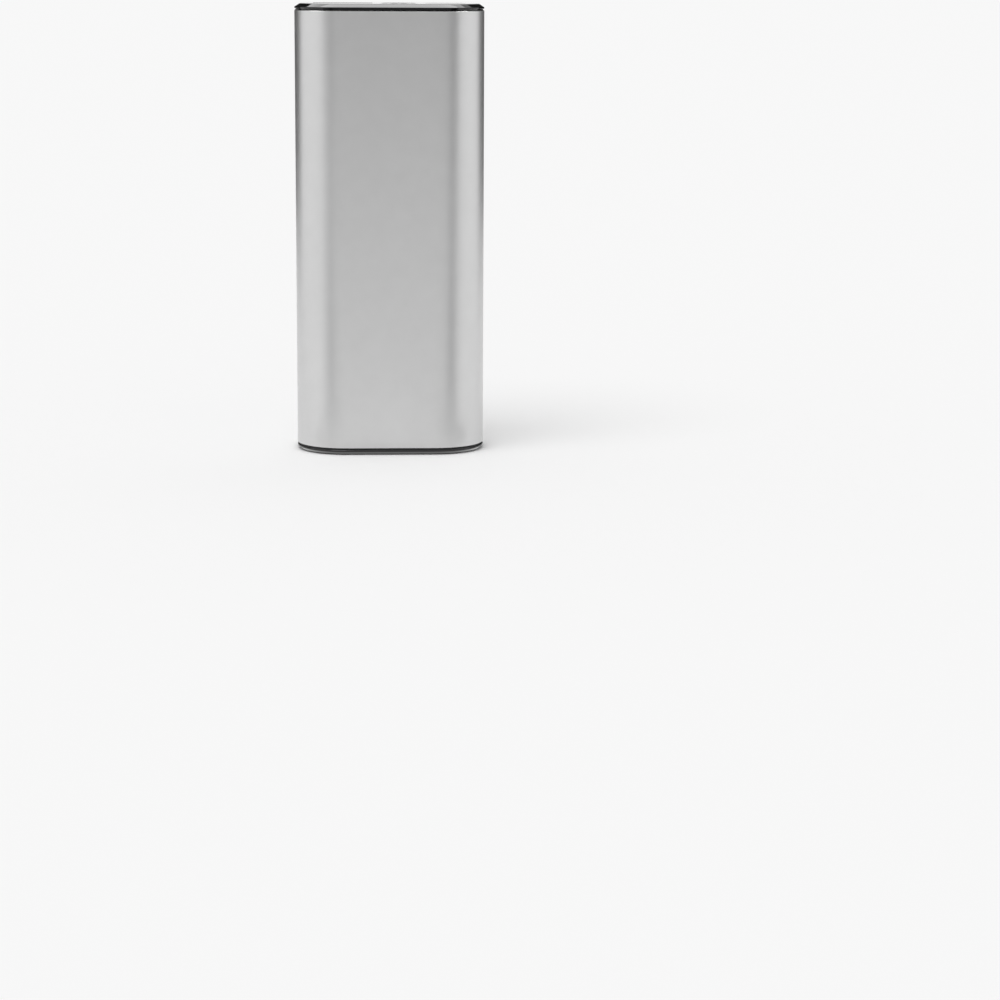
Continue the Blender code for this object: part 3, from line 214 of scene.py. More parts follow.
paper = bpy.data.materials.new("white studio paper")
paper.use_nodes = True
paper_shader = paper.node_tree.nodes["Principled BSDF"].inputs
paper_shader["Base Color"].default_value = linear("#F9F9F9")
paper_shader["Roughness"].default_value = 0.9
paper_shader["Specular IOR Level"].default_value = 0.0
floor.data.materials.append(paper)
print("floor and room are in place")

# %% Stand up the cards and hang the lamp


def put_up(name, mesh, hex_colour, glow=1.0):
    """Stages a mesh that shines evenly in one colour and is only seen in reflections."""
    board = bpy.data.materials.new(name)
    board.use_nodes = True
    board.node_tree.nodes.clear()
    shine = {"Color": linear(hex_colour), "Strength": glow}
    shine = add(board.node_tree, "ShaderNodeEmission", shine)
    add(board.node_tree, "ShaderNodeOutputMaterial", {"Surface": shine})
    mesh.materials.append(board)
    obj = enter(name, mesh)
    obj.visible_camera = obj.visible_diffuse = obj.visible_shadow = False


def card(name, degrees, width, low, high, hex_colour, glow=1.0):
    """A card that faces the object, turned 0 degrees in front and positive to the right. The
    low and the high edge are each given by their distance from the object and their height."""
    azimuth = math.radians(degrees)
    side = Vector((math.cos(azimuth), math.sin(azimuth), 0.0)) * width / 2
    away = Vector((math.sin(azimuth), -math.cos(azimuth), 0.0))
    lower, upper = (away * distance + Vector((0, 0, height)) for distance, height in (low, high))
    corners = (lower - side, lower + side, upper + side, upper - side)
    mesh = bpy.data.meshes.new(name)
    mesh.from_pydata(corners, [], [(0, 1, 2, 3)])
    put_up(name, mesh, hex_colour, glow)


FRONT_DISTANCE = 1.2
FRONT_HALF_ANGLE = math.radians(51)
front_width = 2 * FRONT_DISTANCE * math.tan(FRONT_HALF_ANGLE)
card("front card", 0, front_width, (FRONT_DISTANCE, 0.0), (FRONT_DISTANCE, 2.6), "#A2A2A2")
card("bounce card", 0, 0.3, (0.02, 0.001), (0.07, 0.001), "#FFFFFF")
card("left stripe card", -33, 0.14, (0.9, 0.0), (0.9, 1.6), "#707070")
card("right stripe card", 47, 0.27, (0.9, 0.0), (0.9, 1.6), "#262626")
card("left ribbon", -40, 0.034, (0.03, 0.001), (0.9, 0.001), "#BEBEBE")
card("right ribbon", 41, 0.034, (0.03, 0.001), (0.9, 0.001), "#A0A0A0")
card("left dark card", -146, 0.55, (0.6, 0.0), (0.6, 0.6), "#303030")
card("right dark card", 146, 0.55, (0.6, 0.0), (0.6, 0.6), "#303030")
card("overhead card", 180, 1.3, (0.45, 0.95), (0.15, 1.1), "#FFFFFF", glow=6.5)
card("left corner card", -149, 0.36, (0.85, 0.8), (0.5, 1.05), "#FFFFFF", glow=3.5)
card("right corner card", 147, 0.26, (0.65, 0.85), (0.45, 1.05), "#FFFFFF", glow=3.5)

# A sun with a very wide disc is a softbox that is far away: its light is the same all over
# the floor, and the shadow it leaves has no edge.
SUN_AZIMUTH, SUN_ELEVATION = math.radians(-35), math.radians(62)
lamp = bpy.data.lights.new("wide softbox", "SUN")
lamp.angle = math.radians(40)
lamp.energy = 0.95
softbox = enter("wide softbox", lamp)
towards_lamp = Vector((math.sin(SUN_AZIMUTH), -math.cos(SUN_AZIMUTH), math.tan(SUN_ELEVATION)))
softbox.rotation_euler = towards_lamp.to_track_quat("Z", "Y").to_euler()
sun_share = lamp.energy * math.sin(SUN_ELEVATION) / math.pi
print("the sun gives", round(sun_share, 2), "of the floor's light")

# %% [markdown]
# ## Finishes
#
# Every surface here is moulded, blasted, plated or printed, and none of them is one flat
# colour. One function starts them all. It gives the common name, the colour and the
# roughness, and it adds three quiet things that the eye reads as a real material: a slow
# drift between two tones, a finer drift in how sharply it reflects, and a relief with a
# real grain size. All of it is solid noise on Object coordinates, so it needs no
# unwrapping and runs unbroken round every edge.

# %% The function that starts each finish


def start_finish(
    name, light, dark, roughness, spread, grain_mm, relief_mm, drift_mm=9.0, stretch=(1, 1, 1),
    **constants,
):
    """A Principled material with drifting tone and gloss and a fine relief. The stretch
    draws the grain out along an axis. Constants are sockets of the shader by name."""
    material = bpy.data.materials.new(name)
    material.use_nodes = True
    tree = material.node_tree
    shader = tree.nodes["Principled BSDF"].inputs
    for socket, value in constants.items():
        shader[socket.replace("_", " ")].default_value = value
    place = add(tree, "ShaderNodeTexCoord", name="place").outputs["Object"]
    drift = add(tree, NOISE, {"Vector": place, "Scale": 1 / (drift_mm * MM)})
    tone = add(tree, MIX, {"Factor": drift, 6: linear(dark), 7: linear(light)}, data_type="RGBA")
    drawn = add(tree, "ShaderNodeMapping", {"Vector": place, "Scale": [1 / s for s in stretch]})
    grain = add(tree, NOISE, {"Vector": drawn, "Scale": 1 / (grain_mm * MM), "Detail": 3.0})
    gloss = {"Value": grain, "From Min": 0.3, "From Max": 0.7}
    gloss |= {"To Min": roughness - spread, "To Max": roughness + spread}
    gloss = add(tree, MAP_RANGE, gloss)
    relief = {"Height": grain, "Strength": 1.0, "Distance": relief_mm * MM}
    relief = add(tree, "ShaderNodeBump", relief)
    tree.links.new(tone.outputs[2], shader["Base Color"])
    tree.links.new(gloss.outputs[0], shader["Roughness"])
    tree.links.new(relief.outputs[0], shader["Normal"])
    return material


print("ready to mix finishes")

# %% [markdown]
# ## Anodised aluminium
#
# The tube is drawn, blasted with fine glass beads and then anodised clear. Beads leave
# shallow dents of about a tenth of a millimetre, too fine for this picture, so they are
# drawn at a quarter of a millimetre. They widen every reflection evenly, which is why the
# tube shows broad soft bands. The chamfer at each end is cut after blasting. It stays
# smooth, so it is the one bright line on the body.

# %% Mix the aluminium
blasted = start_finish(
    "anodised aluminium, bead blasted", "#D8D8D8", "#D2D2D2", roughness=0.35, spread=0.05,
    grain_mm=0.25, relief_mm=0.009, drift_mm=4.0, Metallic=1.0,
)
cut_edge = start_finish(
    "anodised aluminium, cut chamfer", "#DEDEDD", "#D8D8D7", roughness=0.16, spread=0.02,
    grain_mm=0.1, relief_mm=0.0004, Metallic=1.0,
)
print("made", blasted.name, "and", cut_edge.name)

# %% [markdown]
# ## The tube
#
# A tube is one section carried round a path, so Geometry Nodes make it the same way. The
# path is a rounded rectangle, and the section is the wall seen on edge: a tall thin
# rectangle with its four corners cut off for the chamfers. It could be lofted from
# outlines instead, but then each size would sit in code. Here they are named inputs that
# can be turned while looking.
#
# The path is resampled to short even steps, so that the rounded sides reflect smoothly.

# %% Two helpers for node trees that make geometry


def new_tree(name, sizes):
    """An empty Geometry Nodes tree with a named input for each size."""
    tree = bpy.data.node_groups.new(name, "GeometryNodeTree")
    tree.interface.new_socket("Geometry", in_out="INPUT", socket_type="NodeSocketGeometry")
    for size, kind in sizes.items():
        tree.interface.new_socket(size, in_out="INPUT", socket_type=kind)
    tree.interface.new_socket("Geometry", in_out="OUTPUT", socket_type="NodeSocketGeometry")
    return tree, tree.nodes.new("NodeGroupInput").outputs


def grown(name, tree, values, start=None):
    """The plain mesh object that a tree makes from a start mesh with these input values."""
    host = enter(name, start or bpy.data.meshes.new(name))
    modifier = host.modifiers.new("grow", "NODES")
    modifier.node_group = tree
    for item in tree.interface.items_tree:
        if item.in_out == "INPUT" and item.name in values:
            modifier[item.identifier] = values[item.name]
    host.update_tag()
    bpy.context.view_layer.update()
    grown_host = host.evaluated_get(bpy.context.evaluated_depsgraph_get())
    mesh = bpy.data.meshes.new_from_object(grown_host)
    mesh.name = name
    host.modifiers.clear()
    host.data = mesh
    return host


print("ready to build trees")

# %% Build the tree that sweeps a wall round a body
FLOAT, COUNT, MATERIAL = "NodeSocketFloat", "NodeSocketInt", "NodeSocketMaterial"
lengths = ("Width", "Depth", "Corner", "Wall", "Low", "High", "Chamfer", "Step")
tube_sizes = {**dict.fromkeys(lengths, FLOAT), "Corner Steps": COUNT, "Finish": MATERIAL}
sweep, given = new_tree("sweep a wall round a body", tube_sizes)
middle_line = {}
for name, operation, left, right in (
    ("width", "SUBTRACT", given["Width"], given["Wall"]),
    ("depth", "SUBTRACT", given["Depth"], given["Wall"]),
    ("half wall", "MULTIPLY", given["Wall"], 0.5),
    ("height", "SUBTRACT", given["High"], given["Low"]),
    ("both ends", "ADD", given["High"], given["Low"]),
):
    middle_line[name] = add(sweep, MATH, (left, right), operation=operation)
middle_corner = add(sweep, MATH, (given["Corner"], middle_line["half wall"]), operation="SUBTRACT")
path = {"Width": middle_line["width"], "Height": middle_line["depth"]}
path = add(sweep, "GeometryNodeCurvePrimitiveQuadrilateral", path)
path = {"Curve": path, "Count": given["Corner Steps"], "Radius": middle_corner}
path = add(sweep, "GeometryNodeFilletCurve", path, mode="POLY")
path = {"Curve": path, "Length": given["Step"]}
path = add(sweep, "GeometryNodeResampleCurve", path, mode="LENGTH")
path = add(sweep, "GeometryNodeSetCurveNormal", {"Curve": path}, mode="Z_UP")
section = {"Width": given["Wall"], "Height": middle_line["height"]}
section = add(sweep, "GeometryNodeCurvePrimitiveQuadrilateral", section)
section = {"Curve": section, "Count": 1, "Radius": given["Chamfer"]}
section = add(sweep, "GeometryNodeFilletCurve", section, mode="POLY")
wall = add(sweep, "GeometryNodeCurveToMesh", {"Curve": path, "Profile Curve": section})
halved = add(sweep, MATH, (middle_line["both ends"], 0.5), operation="MULTIPLY")
lift = add(sweep, "ShaderNodeCombineXYZ", {"Z": halved})
wall = add(sweep, "GeometryNodeTransform", {"Geometry": wall, "Translation": lift})
wall = add(sweep, "GeometryNodeRealizeInstances", {"Geometry": wall})
wall = add(sweep, "GeometryNodeSetMaterial", {"Geometry": wall, "Material": given["Finish"]})
add(sweep, "NodeGroupOutput", {"Geometry": wall})
print(len(sweep.nodes), "nodes in the sweep")

# %% Grow the tube and finish its cut edges
TUBE_WALL, TUBE_CHAMFER = 1.2 * MM, 0.25 * MM
PATH_STEP, CORNER_STEPS = 0.4 * MM, 64
SHARP_ANGLE = math.radians(30)
# A face whose normal leans further than this from level is on a cut end or a chamfer.
CUT_LEAN = 0.1

sizes = {
    "Width": HALF_X * 2, "Depth": HALF_Y * 2, "Corner": CORNER_RADIUS, "Wall": TUBE_WALL,
    "Low": tube_low.z, "High": tube_high.z, "Chamfer": TUBE_CHAMFER, "Step": PATH_STEP,
    "Corner Steps": CORNER_STEPS, "Finish": blasted,
}
case = grown("case_shell", sweep, sizes)
case.data.materials.append(cut_edge)
for face in case.data.polygons:
    face.material_index = 1 if abs(face.normal.z) > CUT_LEAN else 0
case.data.shade_smooth()
case.data.set_sharp_from_angle(angle=SHARP_ANGLE)
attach(case, "case")
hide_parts("case_tube")
print("tube has", len(case.data.polygons), "faces")

# %% [markdown]
# ## Gloss and satin black ABS
#
# The covers are ABS, moulded against a polished steel tool. Polished plastic is never as
# flat as glass: it has a slow, shallow ripple, called orange peel, which makes a straight
# reflection wander a little. The button is the same plastic from a spark-eroded tool, so
# it is satin and stands out against the cover.

# %% Mix the black ABS
gloss_black = start_finish(
    "black ABS, polished mould", "#0D0D0E", "#090909", roughness=0.07, spread=0.02, grain_mm=1.6,
    relief_mm=0.0008,
)
satin_black = start_finish(
    "black ABS, spark eroded mould", "#151516", "#101011", roughness=0.38, spread=0.05,
    grain_mm=0.18, relief_mm=0.003,
)
print("made", gloss_black.name, "and", satin_black.name)

# %% [markdown]
# ## Shapes from rings
#
# A moulded cover is easiest to describe as a contour map: a list of outlines, each with
# its height. A few small functions turn such a list into a solid. One lays a ring of
# points, one skins the bands between rings, and one fills a flat area between any number
# of rings, which also leaves the holes open. A boolean would cut the holes too, but it
# leaves long thin faces that a glossy surface gives away.

# %% Functions for shapes from rings
# The net fills the inside of its outlines. Two points nearer than this are one: in the
# net, which is in millimetres, and in a finished mesh.
FILL_INSIDE, SAME_IN_NET, SAME_IN_MESH = 1, 0.0001, 0.001 * MM


def rounded(half_x, half_y, radius, steps=10, x=0.0, y=0.0):
    """The outline of a rounded rectangle about a centre, anticlockwise."""
    points = []
    for quarter, (side_x, side_y) in enumerate(((1, 1), (-1, 1), (-1, -1), (1, -1))):
        for step in range(steps + 1):
            angle = (quarter + step / steps) * math.pi / 2
            corner_x = side_x * (half_x - radius) + radius * math.cos(angle)
            corner_y = side_y * (half_y - radius) + radius * math.sin(angle)
            points.append((x + corner_x, y + corner_y))
    return points


def round_hole(radius, x, y, sides=64):
    """The outline of a circle."""
    turns = [2 * math.pi * side / sides for side in range(sides)]
    return [(x + radius * math.cos(turn), y + radius * math.sin(turn)) for turn in turns]


def skin(bm, sections, closed=False):
    """Skins (outline, height) sections and gives back their rings of points."""
    rings = [[bm.verts.new((x, y, z)) for x, y in outline] for outline, z in sections]
    for lower, upper in zip(rings, rings[1:] + rings[:1] if closed else rings[1:]):
        for number in range(len(lower)):
            after = (number + 1) % len(lower)
            bm.faces.new((lower[number], lower[after], upper[after], upper[number]))
    return rings


def fill(bm, *rings):
    """Fills the flat area that the first ring holds, less the rings inside it."""
    verts = [vert for ring in rings for vert in ring]
    numbers = iter(range(len(verts)))
    outlines = [[next(numbers) for _ in ring] for ring in rings]
    flat = [vert.co.xy / MM for vert in verts]
    net = delaunay_2d_cdt(flat, [], outlines, FILL_INSIDE, SAME_IN_NET)
    for triangle, inside_of in zip(net[2], net[5]):
        if inside_of == [0]:
            bm.faces.new([verts[net[3][corner][0]] for corner in triangle])


def clean_mesh(name, bm):
    """A mesh with doubles merged, faces outward, and smooth but for its real edges."""
    bmesh.ops.remove_doubles(bm, verts=bm.verts, dist=SAME_IN_MESH)
    bmesh.ops.recalc_face_normals(bm, faces=bm.faces)
    open_edges = [edge for edge in bm.edges if len(edge.link_faces) != 2]
    mesh = bpy.data.meshes.new(name)
    bm.to_mesh(mesh)
    bm.free()
    mesh.shade_smooth()
    mesh.set_sharp_from_angle(angle=SHARP_ANGLE)
    print(name, len(mesh.polygons), "faces,", len(open_edges), "open edges")
    return mesh


def solid(name, sections):
    """The mesh of a solid over (outline, height) sections, closed at both ends."""
    bm = bmesh.new()
    rings = skin(bm, sections)
    fill(bm, rings[0])
    fill(bm, rings[-1])
    return clean_mesh(name, bm)


def fit(mesh, look, body, slot, *replaced):
    """Puts a finished mesh in the scene on a body, in place of pieces of the frame."""
    mesh.materials.append(look)
    obj = enter(mesh.name, mesh)
    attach(obj, body)
    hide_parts(*replaced)


def quarter_round(radius, steps):
    """How far in and how far down each step of a rounded edge is, from its side upwards."""
    turns = [math.pi / 2 * step / steps for step in range(steps + 1)]
    return [(radius * (1 - math.cos(turn)), radius * (1 - math.sin(turn))) for turn in turns]


print("a rounded edge of 1:", [(round(a, 2), round(b, 2)) for a, b in quarter_round(1.0, 3)])

# %% [markdown]
# ## The covers
#
# Each cover is a thin skin with a very short straight side and then a broad slope that runs
# up to the flat middle, both of whose edges are rounded a little, as a polished moulding's
# are. A spigot under it holds it in the end frame, and a low ledge closes the seam against
# the end of the tube. The slope is what makes the upper cover look like a black line with a
# light one above it, because the straight side shows the dark room and the slope the lamp
# overhead. One ring is laid just inside the slope and round each opening, so that the flat
# middle stays flat in the reflection as well.

# %% Sizes of the covers and the openings
COVER_THICKNESS = 1.2 * MM
SLOPE_DROP, SLOPE_RUN = 0.8 * MM, 1.2 * MM
SLOPE = math.atan2(SLOPE_DROP, SLOPE_RUN)
EDGE_ROUND, SHOULDER_ROUND = 0.12 * MM, 0.6 * MM
COVER_EDGE = 0.1 * MM
SPIGOT_INSET, SPIGOT_WALL = 2.8 * MM, 0.8 * MM
LEDGE_INSET, LEDGE_DEPTH = 0.3 * MM, 0.18 * MM
OPENING_GAP = 0.2 * MM
OPENING_ROUND = 0.25 * MM
PIP_GAP, PIP_ROUND = 0.2 * MM, 0.08 * MM
SUPPORT = 0.08 * MM
BODY_STEPS, EDGE_STEPS, SHOULDER_STEPS, OPENING_STEPS = 44, 5, 6, 5
SPIGOT_DEPTH = BODY_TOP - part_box("top_cover")[0].z

wide_low, wide_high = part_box("usb_a_shell")
small_low, small_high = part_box("usb_c_shell")
button_low, button_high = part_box("power_button")
guide_low, guide_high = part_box("light_guide")
WIDE_X, WIDE_HALF = (wide_low.x + wide_high.x) / 2, (wide_high - wide_low) / 2
SMALL_X, SMALL_HALF = (small_low.x + small_high.x) / 2, (small_high - small_low) / 2
BUTTON_X = (button_low.x + button_high.x) / 2
BUTTON_RADIUS = 3.75 * MM
WIDE_CORNER = 0.8 * MM
PIP_RADIUS, PIP_PITCH, PIP_COUNT, PIP_INSET = 0.6 * MM, 2.4 * MM, 4, 0.8 * MM
PIP_Y = guide_low.y + PIP_INSET
print("openings at x", [round(x / MM, 2) for x in (WIDE_X, BUTTON_X, SMALL_X)])

# %% Loft the two covers


def body_outline(inset):
    """The body's own section, drawn in by an inset."""
    return rounded(HALF_X - inset, HALF_Y - inset, CORNER_RADIUS - inset, BODY_STEPS)


def wide_outline(grow):
    """The wide socket's section, grown by a gap."""
    half_x, half_y = WIDE_HALF.x + grow, WIDE_HALF.y + grow
    return rounded(half_x, half_y, WIDE_CORNER + grow, x=WIDE_X)


def small_outline(grow):
    """The small socket's section, grown by a gap."""
    radius = SMALL_HALF.y + grow
    return rounded(SMALL_HALF.x + grow, radius, radius, steps=16, x=SMALL_X)


def sloped_edge():
    """How far in and how far down each point of a cover's slope is, from the side inwards."""
    side_turn = math.pi / 2 - SLOPE
    edge_drop = SLOPE_DROP + EDGE_ROUND * math.tan(side_turn / 2)
    shoulder_run = SLOPE_RUN + SHOULDER_ROUND * math.tan(SLOPE / 2)
    points = []
    for step in range(EDGE_STEPS + 1):
        turn = side_turn * step / EDGE_STEPS
        run, drop = EDGE_ROUND * (1 - math.cos(turn)), EDGE_ROUND * math.sin(turn)
        points.append((run, edge_drop - drop))
    for step in range(SHOULDER_STEPS + 1):
        turn = SLOPE * (1 - step / SHOULDER_STEPS)
        run, drop = SHOULDER_ROUND * math.sin(turn), SHOULDER_ROUND * (1 - math.cos(turn))
        points.append((shoulder_run - run, drop))
    return points


def make_cover(name, end, openings, replaced):
    """A cover with a sloped edge. Depths run into the body from its outer face. Each
    opening is an outline for a growth, and the radius of its edge."""
    outer, inwards = (BODY_TOP, -1) if end == "top" else (BODY_FOOT, 1)
    inner = SPIGOT_INSET + SPIGOT_WALL
    ledge = COVER_THICKNESS + LEDGE_DEPTH
    profile = [(inner, COVER_THICKNESS), (inner, SPIGOT_DEPTH), (SPIGOT_INSET, SPIGOT_DEPTH)]
    profile += [(SPIGOT_INSET, ledge), (LEDGE_INSET, ledge), (LEDGE_INSET, COVER_THICKNESS)]
    profile += [(COVER_EDGE, COVER_THICKNESS), (0.0, COVER_THICKNESS - COVER_EDGE)]
    profile += sloped_edge()
    profile.append((profile[-1][0] + SUPPORT, 0.0))
    bm = bmesh.new()
    rings = skin(bm, [(body_outline(inset), outer + inwards * depth) for inset, depth in profile])
    outside, inside = [rings[-1]], [rings[0]]
    for outline, edge in openings:
        sections = [(outline(0.0), COVER_THICKNESS)]
        sections += [(outline(inset), depth) for inset, depth in quarter_round(edge, OPENING_STEPS)]
        sections.append((outline(edge + SUPPORT), 0.0))
        holes = skin(bm, [(points, outer + inwards * depth) for points, depth in sections])
        inside.append(holes[0])
        outside.append(holes[-1])
    fill(bm, *outside)
    fill(bm, *inside)
    fit(clean_mesh(name, bm), gloss_black, "case", "gloss_black", replaced)


openings = [
    (lambda grow: wide_outline(OPENING_GAP + grow), OPENING_ROUND),
    (lambda grow: small_outline(OPENING_GAP + grow), OPENING_ROUND),
    (lambda grow: round_hole(BUTTON_RADIUS + OPENING_GAP + grow, BUTTON_X, 0.0), OPENING_ROUND),
]
for number in range(PIP_COUNT):
    pip_x = BUTTON_X + PIP_PITCH * (number - (PIP_COUNT - 1) / 2)
    openings.append(
        (lambda grow, x=pip_x: round_hole(PIP_RADIUS + PIP_GAP + grow, x, PIP_Y, 32), PIP_ROUND)
    )
make_cover("upper_cover_skin", "top", openings, "top_cover")
make_cover("foot_cover_skin", "bottom", [], "bottom_cover")

# %% [markdown]
# ## A white ring under the foot
#
# The slope of the lower cover looks down at the floor just under it, which lies in the
# object's own shadow, so it would melt into the straight side above. A narrow white ring
# a hair above the floor, all of it inside the outline, shows in the slope alone. It parts
# the foot into a thin black line and a grey slope, as light from below does.

# %% Lay the ring
RING_HEIGHT, RING_OUTSIDE, RING_INSIDE = 0.2 * MM, 0.1 * MM, 0.9 * MM
ring_bm = bmesh.new()
ring_height = BODY_FOOT + RING_HEIGHT
skin(ring_bm, [(body_outline(inset), ring_height) for inset in (RING_OUTSIDE, RING_INSIDE)])
ring_mesh = bpy.data.meshes.new("foot ring")
ring_bm.to_mesh(ring_mesh)
ring_bm.free()
put_up("foot ring", ring_mesh, "#FFFFFF")
print("the ring is", round((RING_INSIDE - RING_OUTSIDE) / MM, 2), "mm wide")

# %% [markdown]
# ## The button
#
# A round button is turned, so its rings are circles. Under the cover it has a flange that
# keeps it in, and a stem that reaches the switch. The face is a shallow dish, so a finger
# finds it without looking.

# %% Turn the button
BUTTON_EDGE, BUTTON_DISH = 0.3 * MM, 0.15 * MM
BUTTON_FLANGE, FLANGE_THICKNESS = 0.8 * MM, 0.7 * MM
STEM_RADIUS = 1.2 * MM
FLANGE_GAP, DISH_STEPS = 0.3 * MM, 10
FLANGE_TOP = BODY_TOP - COVER_THICKNESS - FLANGE_GAP

profile = [
    (STEM_RADIUS, button_low.z),
    (STEM_RADIUS, FLANGE_TOP - FLANGE_THICKNESS),
    (BUTTON_RADIUS + BUTTON_FLANGE, FLANGE_TOP - FLANGE_THICKNESS),
    (BUTTON_RADIUS + BUTTON_FLANGE, FLANGE_TOP),
    (BUTTON_RADIUS, FLANGE_TOP),
]
for inset, depth in quarter_round(BUTTON_EDGE, steps=8):
    profile.append((BUTTON_RADIUS - inset, button_high.z - depth))
rim = BUTTON_RADIUS - BUTTON_EDGE
for step in range(1, DISH_STEPS):
    share = 1 - step / DISH_STEPS
    profile.append((rim * share, button_high.z - BUTTON_DISH * (1 - share**2)))
button = solid("button_face", [(round_hole(radius, BUTTON_X, 0.0), z) for radius, z in profile])
fit(button, satin_black, "button", "gloss_black", "power_button")

# %% [markdown]
# ## The sockets
#
# A socket's shell is a strip of nickel-plated steel, folded into a ring. Its mouth is
# rolled, not cut square, so it catches a thin round highlight. Inside the wide shell two
# spring fingers press on a plug, and the insulator carries four contacts. The small
# shell holds a thin tongue with twelve contacts on each side. Both shells are rings
# again, and the contacts and fingers repeat, so they come from one small node tree.

# %% Mix the socket finishes
# Nickel plate on drawn steel: bright, a little warm, with faint lines along the draw.
nickel = start_finish(
    "bright nickel plate", "#D9D3C8", "#CFC9BE", roughness=0.22, spread=0.05, grain_mm=0.12,
    relief_mm=0.0006, stretch=(1, 1, 12), Metallic=1.0,
)
# Gold flash over nickel: the contacts are stamped, so they are smooth and mirror-like.
gold = start_finish(
    "gold plate", "#F0C36A", "#E2B25A", roughness=0.2, spread=0.04, grain_mm=0.1,
    relief_mm=0.0004, Metallic=1.0,
)
# Glass-filled nylon: black, dull, with the fine mottle that the glass fibres leave.
black_nylon = start_finish(
    "black nylon, glass filled", "#222223", "#19191A", roughness=0.52, spread=0.08, grain_mm=0.3,
    relief_mm=0.006, drift_mm=1.2,
)
# Natural ABS: an off-white that is a little yellow, moulded in a fine matt tool.
white_moulding = start_finish(
    "white ABS, matt mould", "#E4E1D8", "#DAD6CB", roughness=0.48, spread=0.06, grain_mm=0.2,
    relief_mm=0.003,
)
print("four finishes for the sockets")

# %% Roll the socket shells and mould the wide tongue
SHELL_WALL, LIP_STEPS = 0.3 * MM, 8


def make_shell(name, outline, low, high, replaced):
    """A folded shell, open at both ends, whose mouth is rolled to a half round."""
    lip = SHELL_WALL / 2
    sections = [(outline(0.0), low)]
    for step in range(LIP_STEPS + 1):
        turn = math.pi * step / LIP_STEPS
        sections.append((outline(-lip * (1 - math.cos(turn))), high - lip + lip * math.sin(turn)))
    sections.append((outline(-SHELL_WALL), low))
    bm = bmesh.new()
    skin(bm, sections, closed=True)
    fit(clean_mesh(name, bm), nickel, "case", "nickel_steel", replaced)


make_shell("wide_socket_shell", wide_outline, wide_low.z, wide_high.z, "usb_a_shell")
make_shell("small_socket_shell", small_outline, small_low.z, small_high.z, "usb_c_shell")

TONGUE_SIDE_GAP, TONGUE_REAR_GAP, TONGUE_THICKNESS = 0.75 * MM, 0.4 * MM, 1.84 * MM
BLOCK_HEIGHT, TONGUE_ROUND = 4.5 * MM, 0.12 * MM
tongue_low, tongue_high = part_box("usb_a_tongue")
TONGUE_HALF_X = WIDE_HALF.x - SHELL_WALL - TONGUE_SIDE_GAP
TONGUE_REAR = WIDE_HALF.y - SHELL_WALL - TONGUE_REAR_GAP
TONGUE_FRONT = TONGUE_REAR - TONGUE_THICKNESS
BLOCK_TOP = tongue_low.z + BLOCK_HEIGHT


def tongue_outline(grow):
    """The section of the wide tongue, in front of the shell's rear wall."""
    half_y, middle = TONGUE_THICKNESS / 2 + grow, (TONGUE_REAR + TONGUE_FRONT) / 2
    return rounded(TONGUE_HALF_X + grow, half_y, TONGUE_ROUND + grow, 4, WIDE_X, middle)


bm = bmesh.new()
block_outline = wide_outline(-SHELL_WALL - OPENING_GAP)
block_rings = skin(bm, [(block_outline, tongue_low.z), (block_outline, BLOCK_TOP)])
sections = [(tongue_outline(0.0), BLOCK_TOP)]
for inset, depth in quarter_round(TONGUE_ROUND * 0.9, steps=4):
    sections.append((tongue_outline(-inset), tongue_high.z - depth))
tongue_rings = skin(bm, sections)
fill(bm, block_rings[0])
fill(bm, block_rings[1], tongue_rings[0])
fill(bm, tongue_rings[-1])
tongue = clean_mesh("wide_socket_tongue", bm)
fit(tongue, white_moulding, "case", "white_moulding", "usb_a_tongue")

# %% Build the tree that sets equal pieces in a row
row_sizes = {"Count": COUNT, "Pitch": FLOAT, "Finish": MATERIAL}
row, given = new_tree("row of equal pieces", row_sizes)
steps_between = add(row, MATH, (given["Count"], 1.0), operation="SUBTRACT")
row_length = add(row, MATH, (steps_between, given["Pitch"]), operation="MULTIPLY")
first = add(row, MATH, (row_length, -0.5), operation="MULTIPLY")
start = add(row, "ShaderNodeCombineXYZ", {"X": first})
step = add(row, "ShaderNodeCombineXYZ", {"X": given["Pitch"]})
line = {"Count": given["Count"], "Start Location": start, "Offset": step}
line = add(row, "GeometryNodeMeshLine", line)
pieces = add(row, "GeometryNodeInstanceOnPoints", {"Points": line, "Instance": given["Geometry"]})
pieces = add(row, "GeometryNodeRealizeInstances", {"Geometry": pieces})
pieces = add(row, "GeometryNodeSetMaterial", {"Geometry": pieces, "Material": given["Finish"]})
add(row, "NodeGroupOutput", {"Geometry": pieces})
print(len(row.nodes), "nodes in the row")

# %% Set the contacts and the spring fingers
WIDE_CONTACT, WIDE_STAND, WIDE_CONTACT_START, WIDE_PITCH = 1.1 * MM, 0.12 * MM, 1.0 * MM, 2.3 * MM
SMALL_CONTACT, SMALL_STAND, SMALL_TONGUE_HALF = 0.28 * MM, 0.05 * MM, 0.35 * MM
SMALL_CONTACT_START, SMALL_CONTACT_END, SMALL_PITCH = 0.5 * MM, 3.6 * MM, 0.5 * MM


def block_mesh(name, outline, low, high, edge):
    """An upright bar with a rounded outline and a small chamfer round its upper end."""
    return solid(name, [(outline(0.0), low), (outline(0.0), high - edge), (outline(-edge), high)])


def contact_row(name, x, y, width, stand, low, high, count, pitch):
    """A row of flat contacts that stand a little proud of a tongue."""

    def outline(grow):
        return rounded(width / 2 + grow, stand / 2 + grow, stand / 4, 3, x, y)

    values = {"Count": count, "Pitch": pitch, "Finish": gold}
    piece = grown(name, row, values, block_mesh(name, outline, low, high, stand / 8))
    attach(piece, "case")


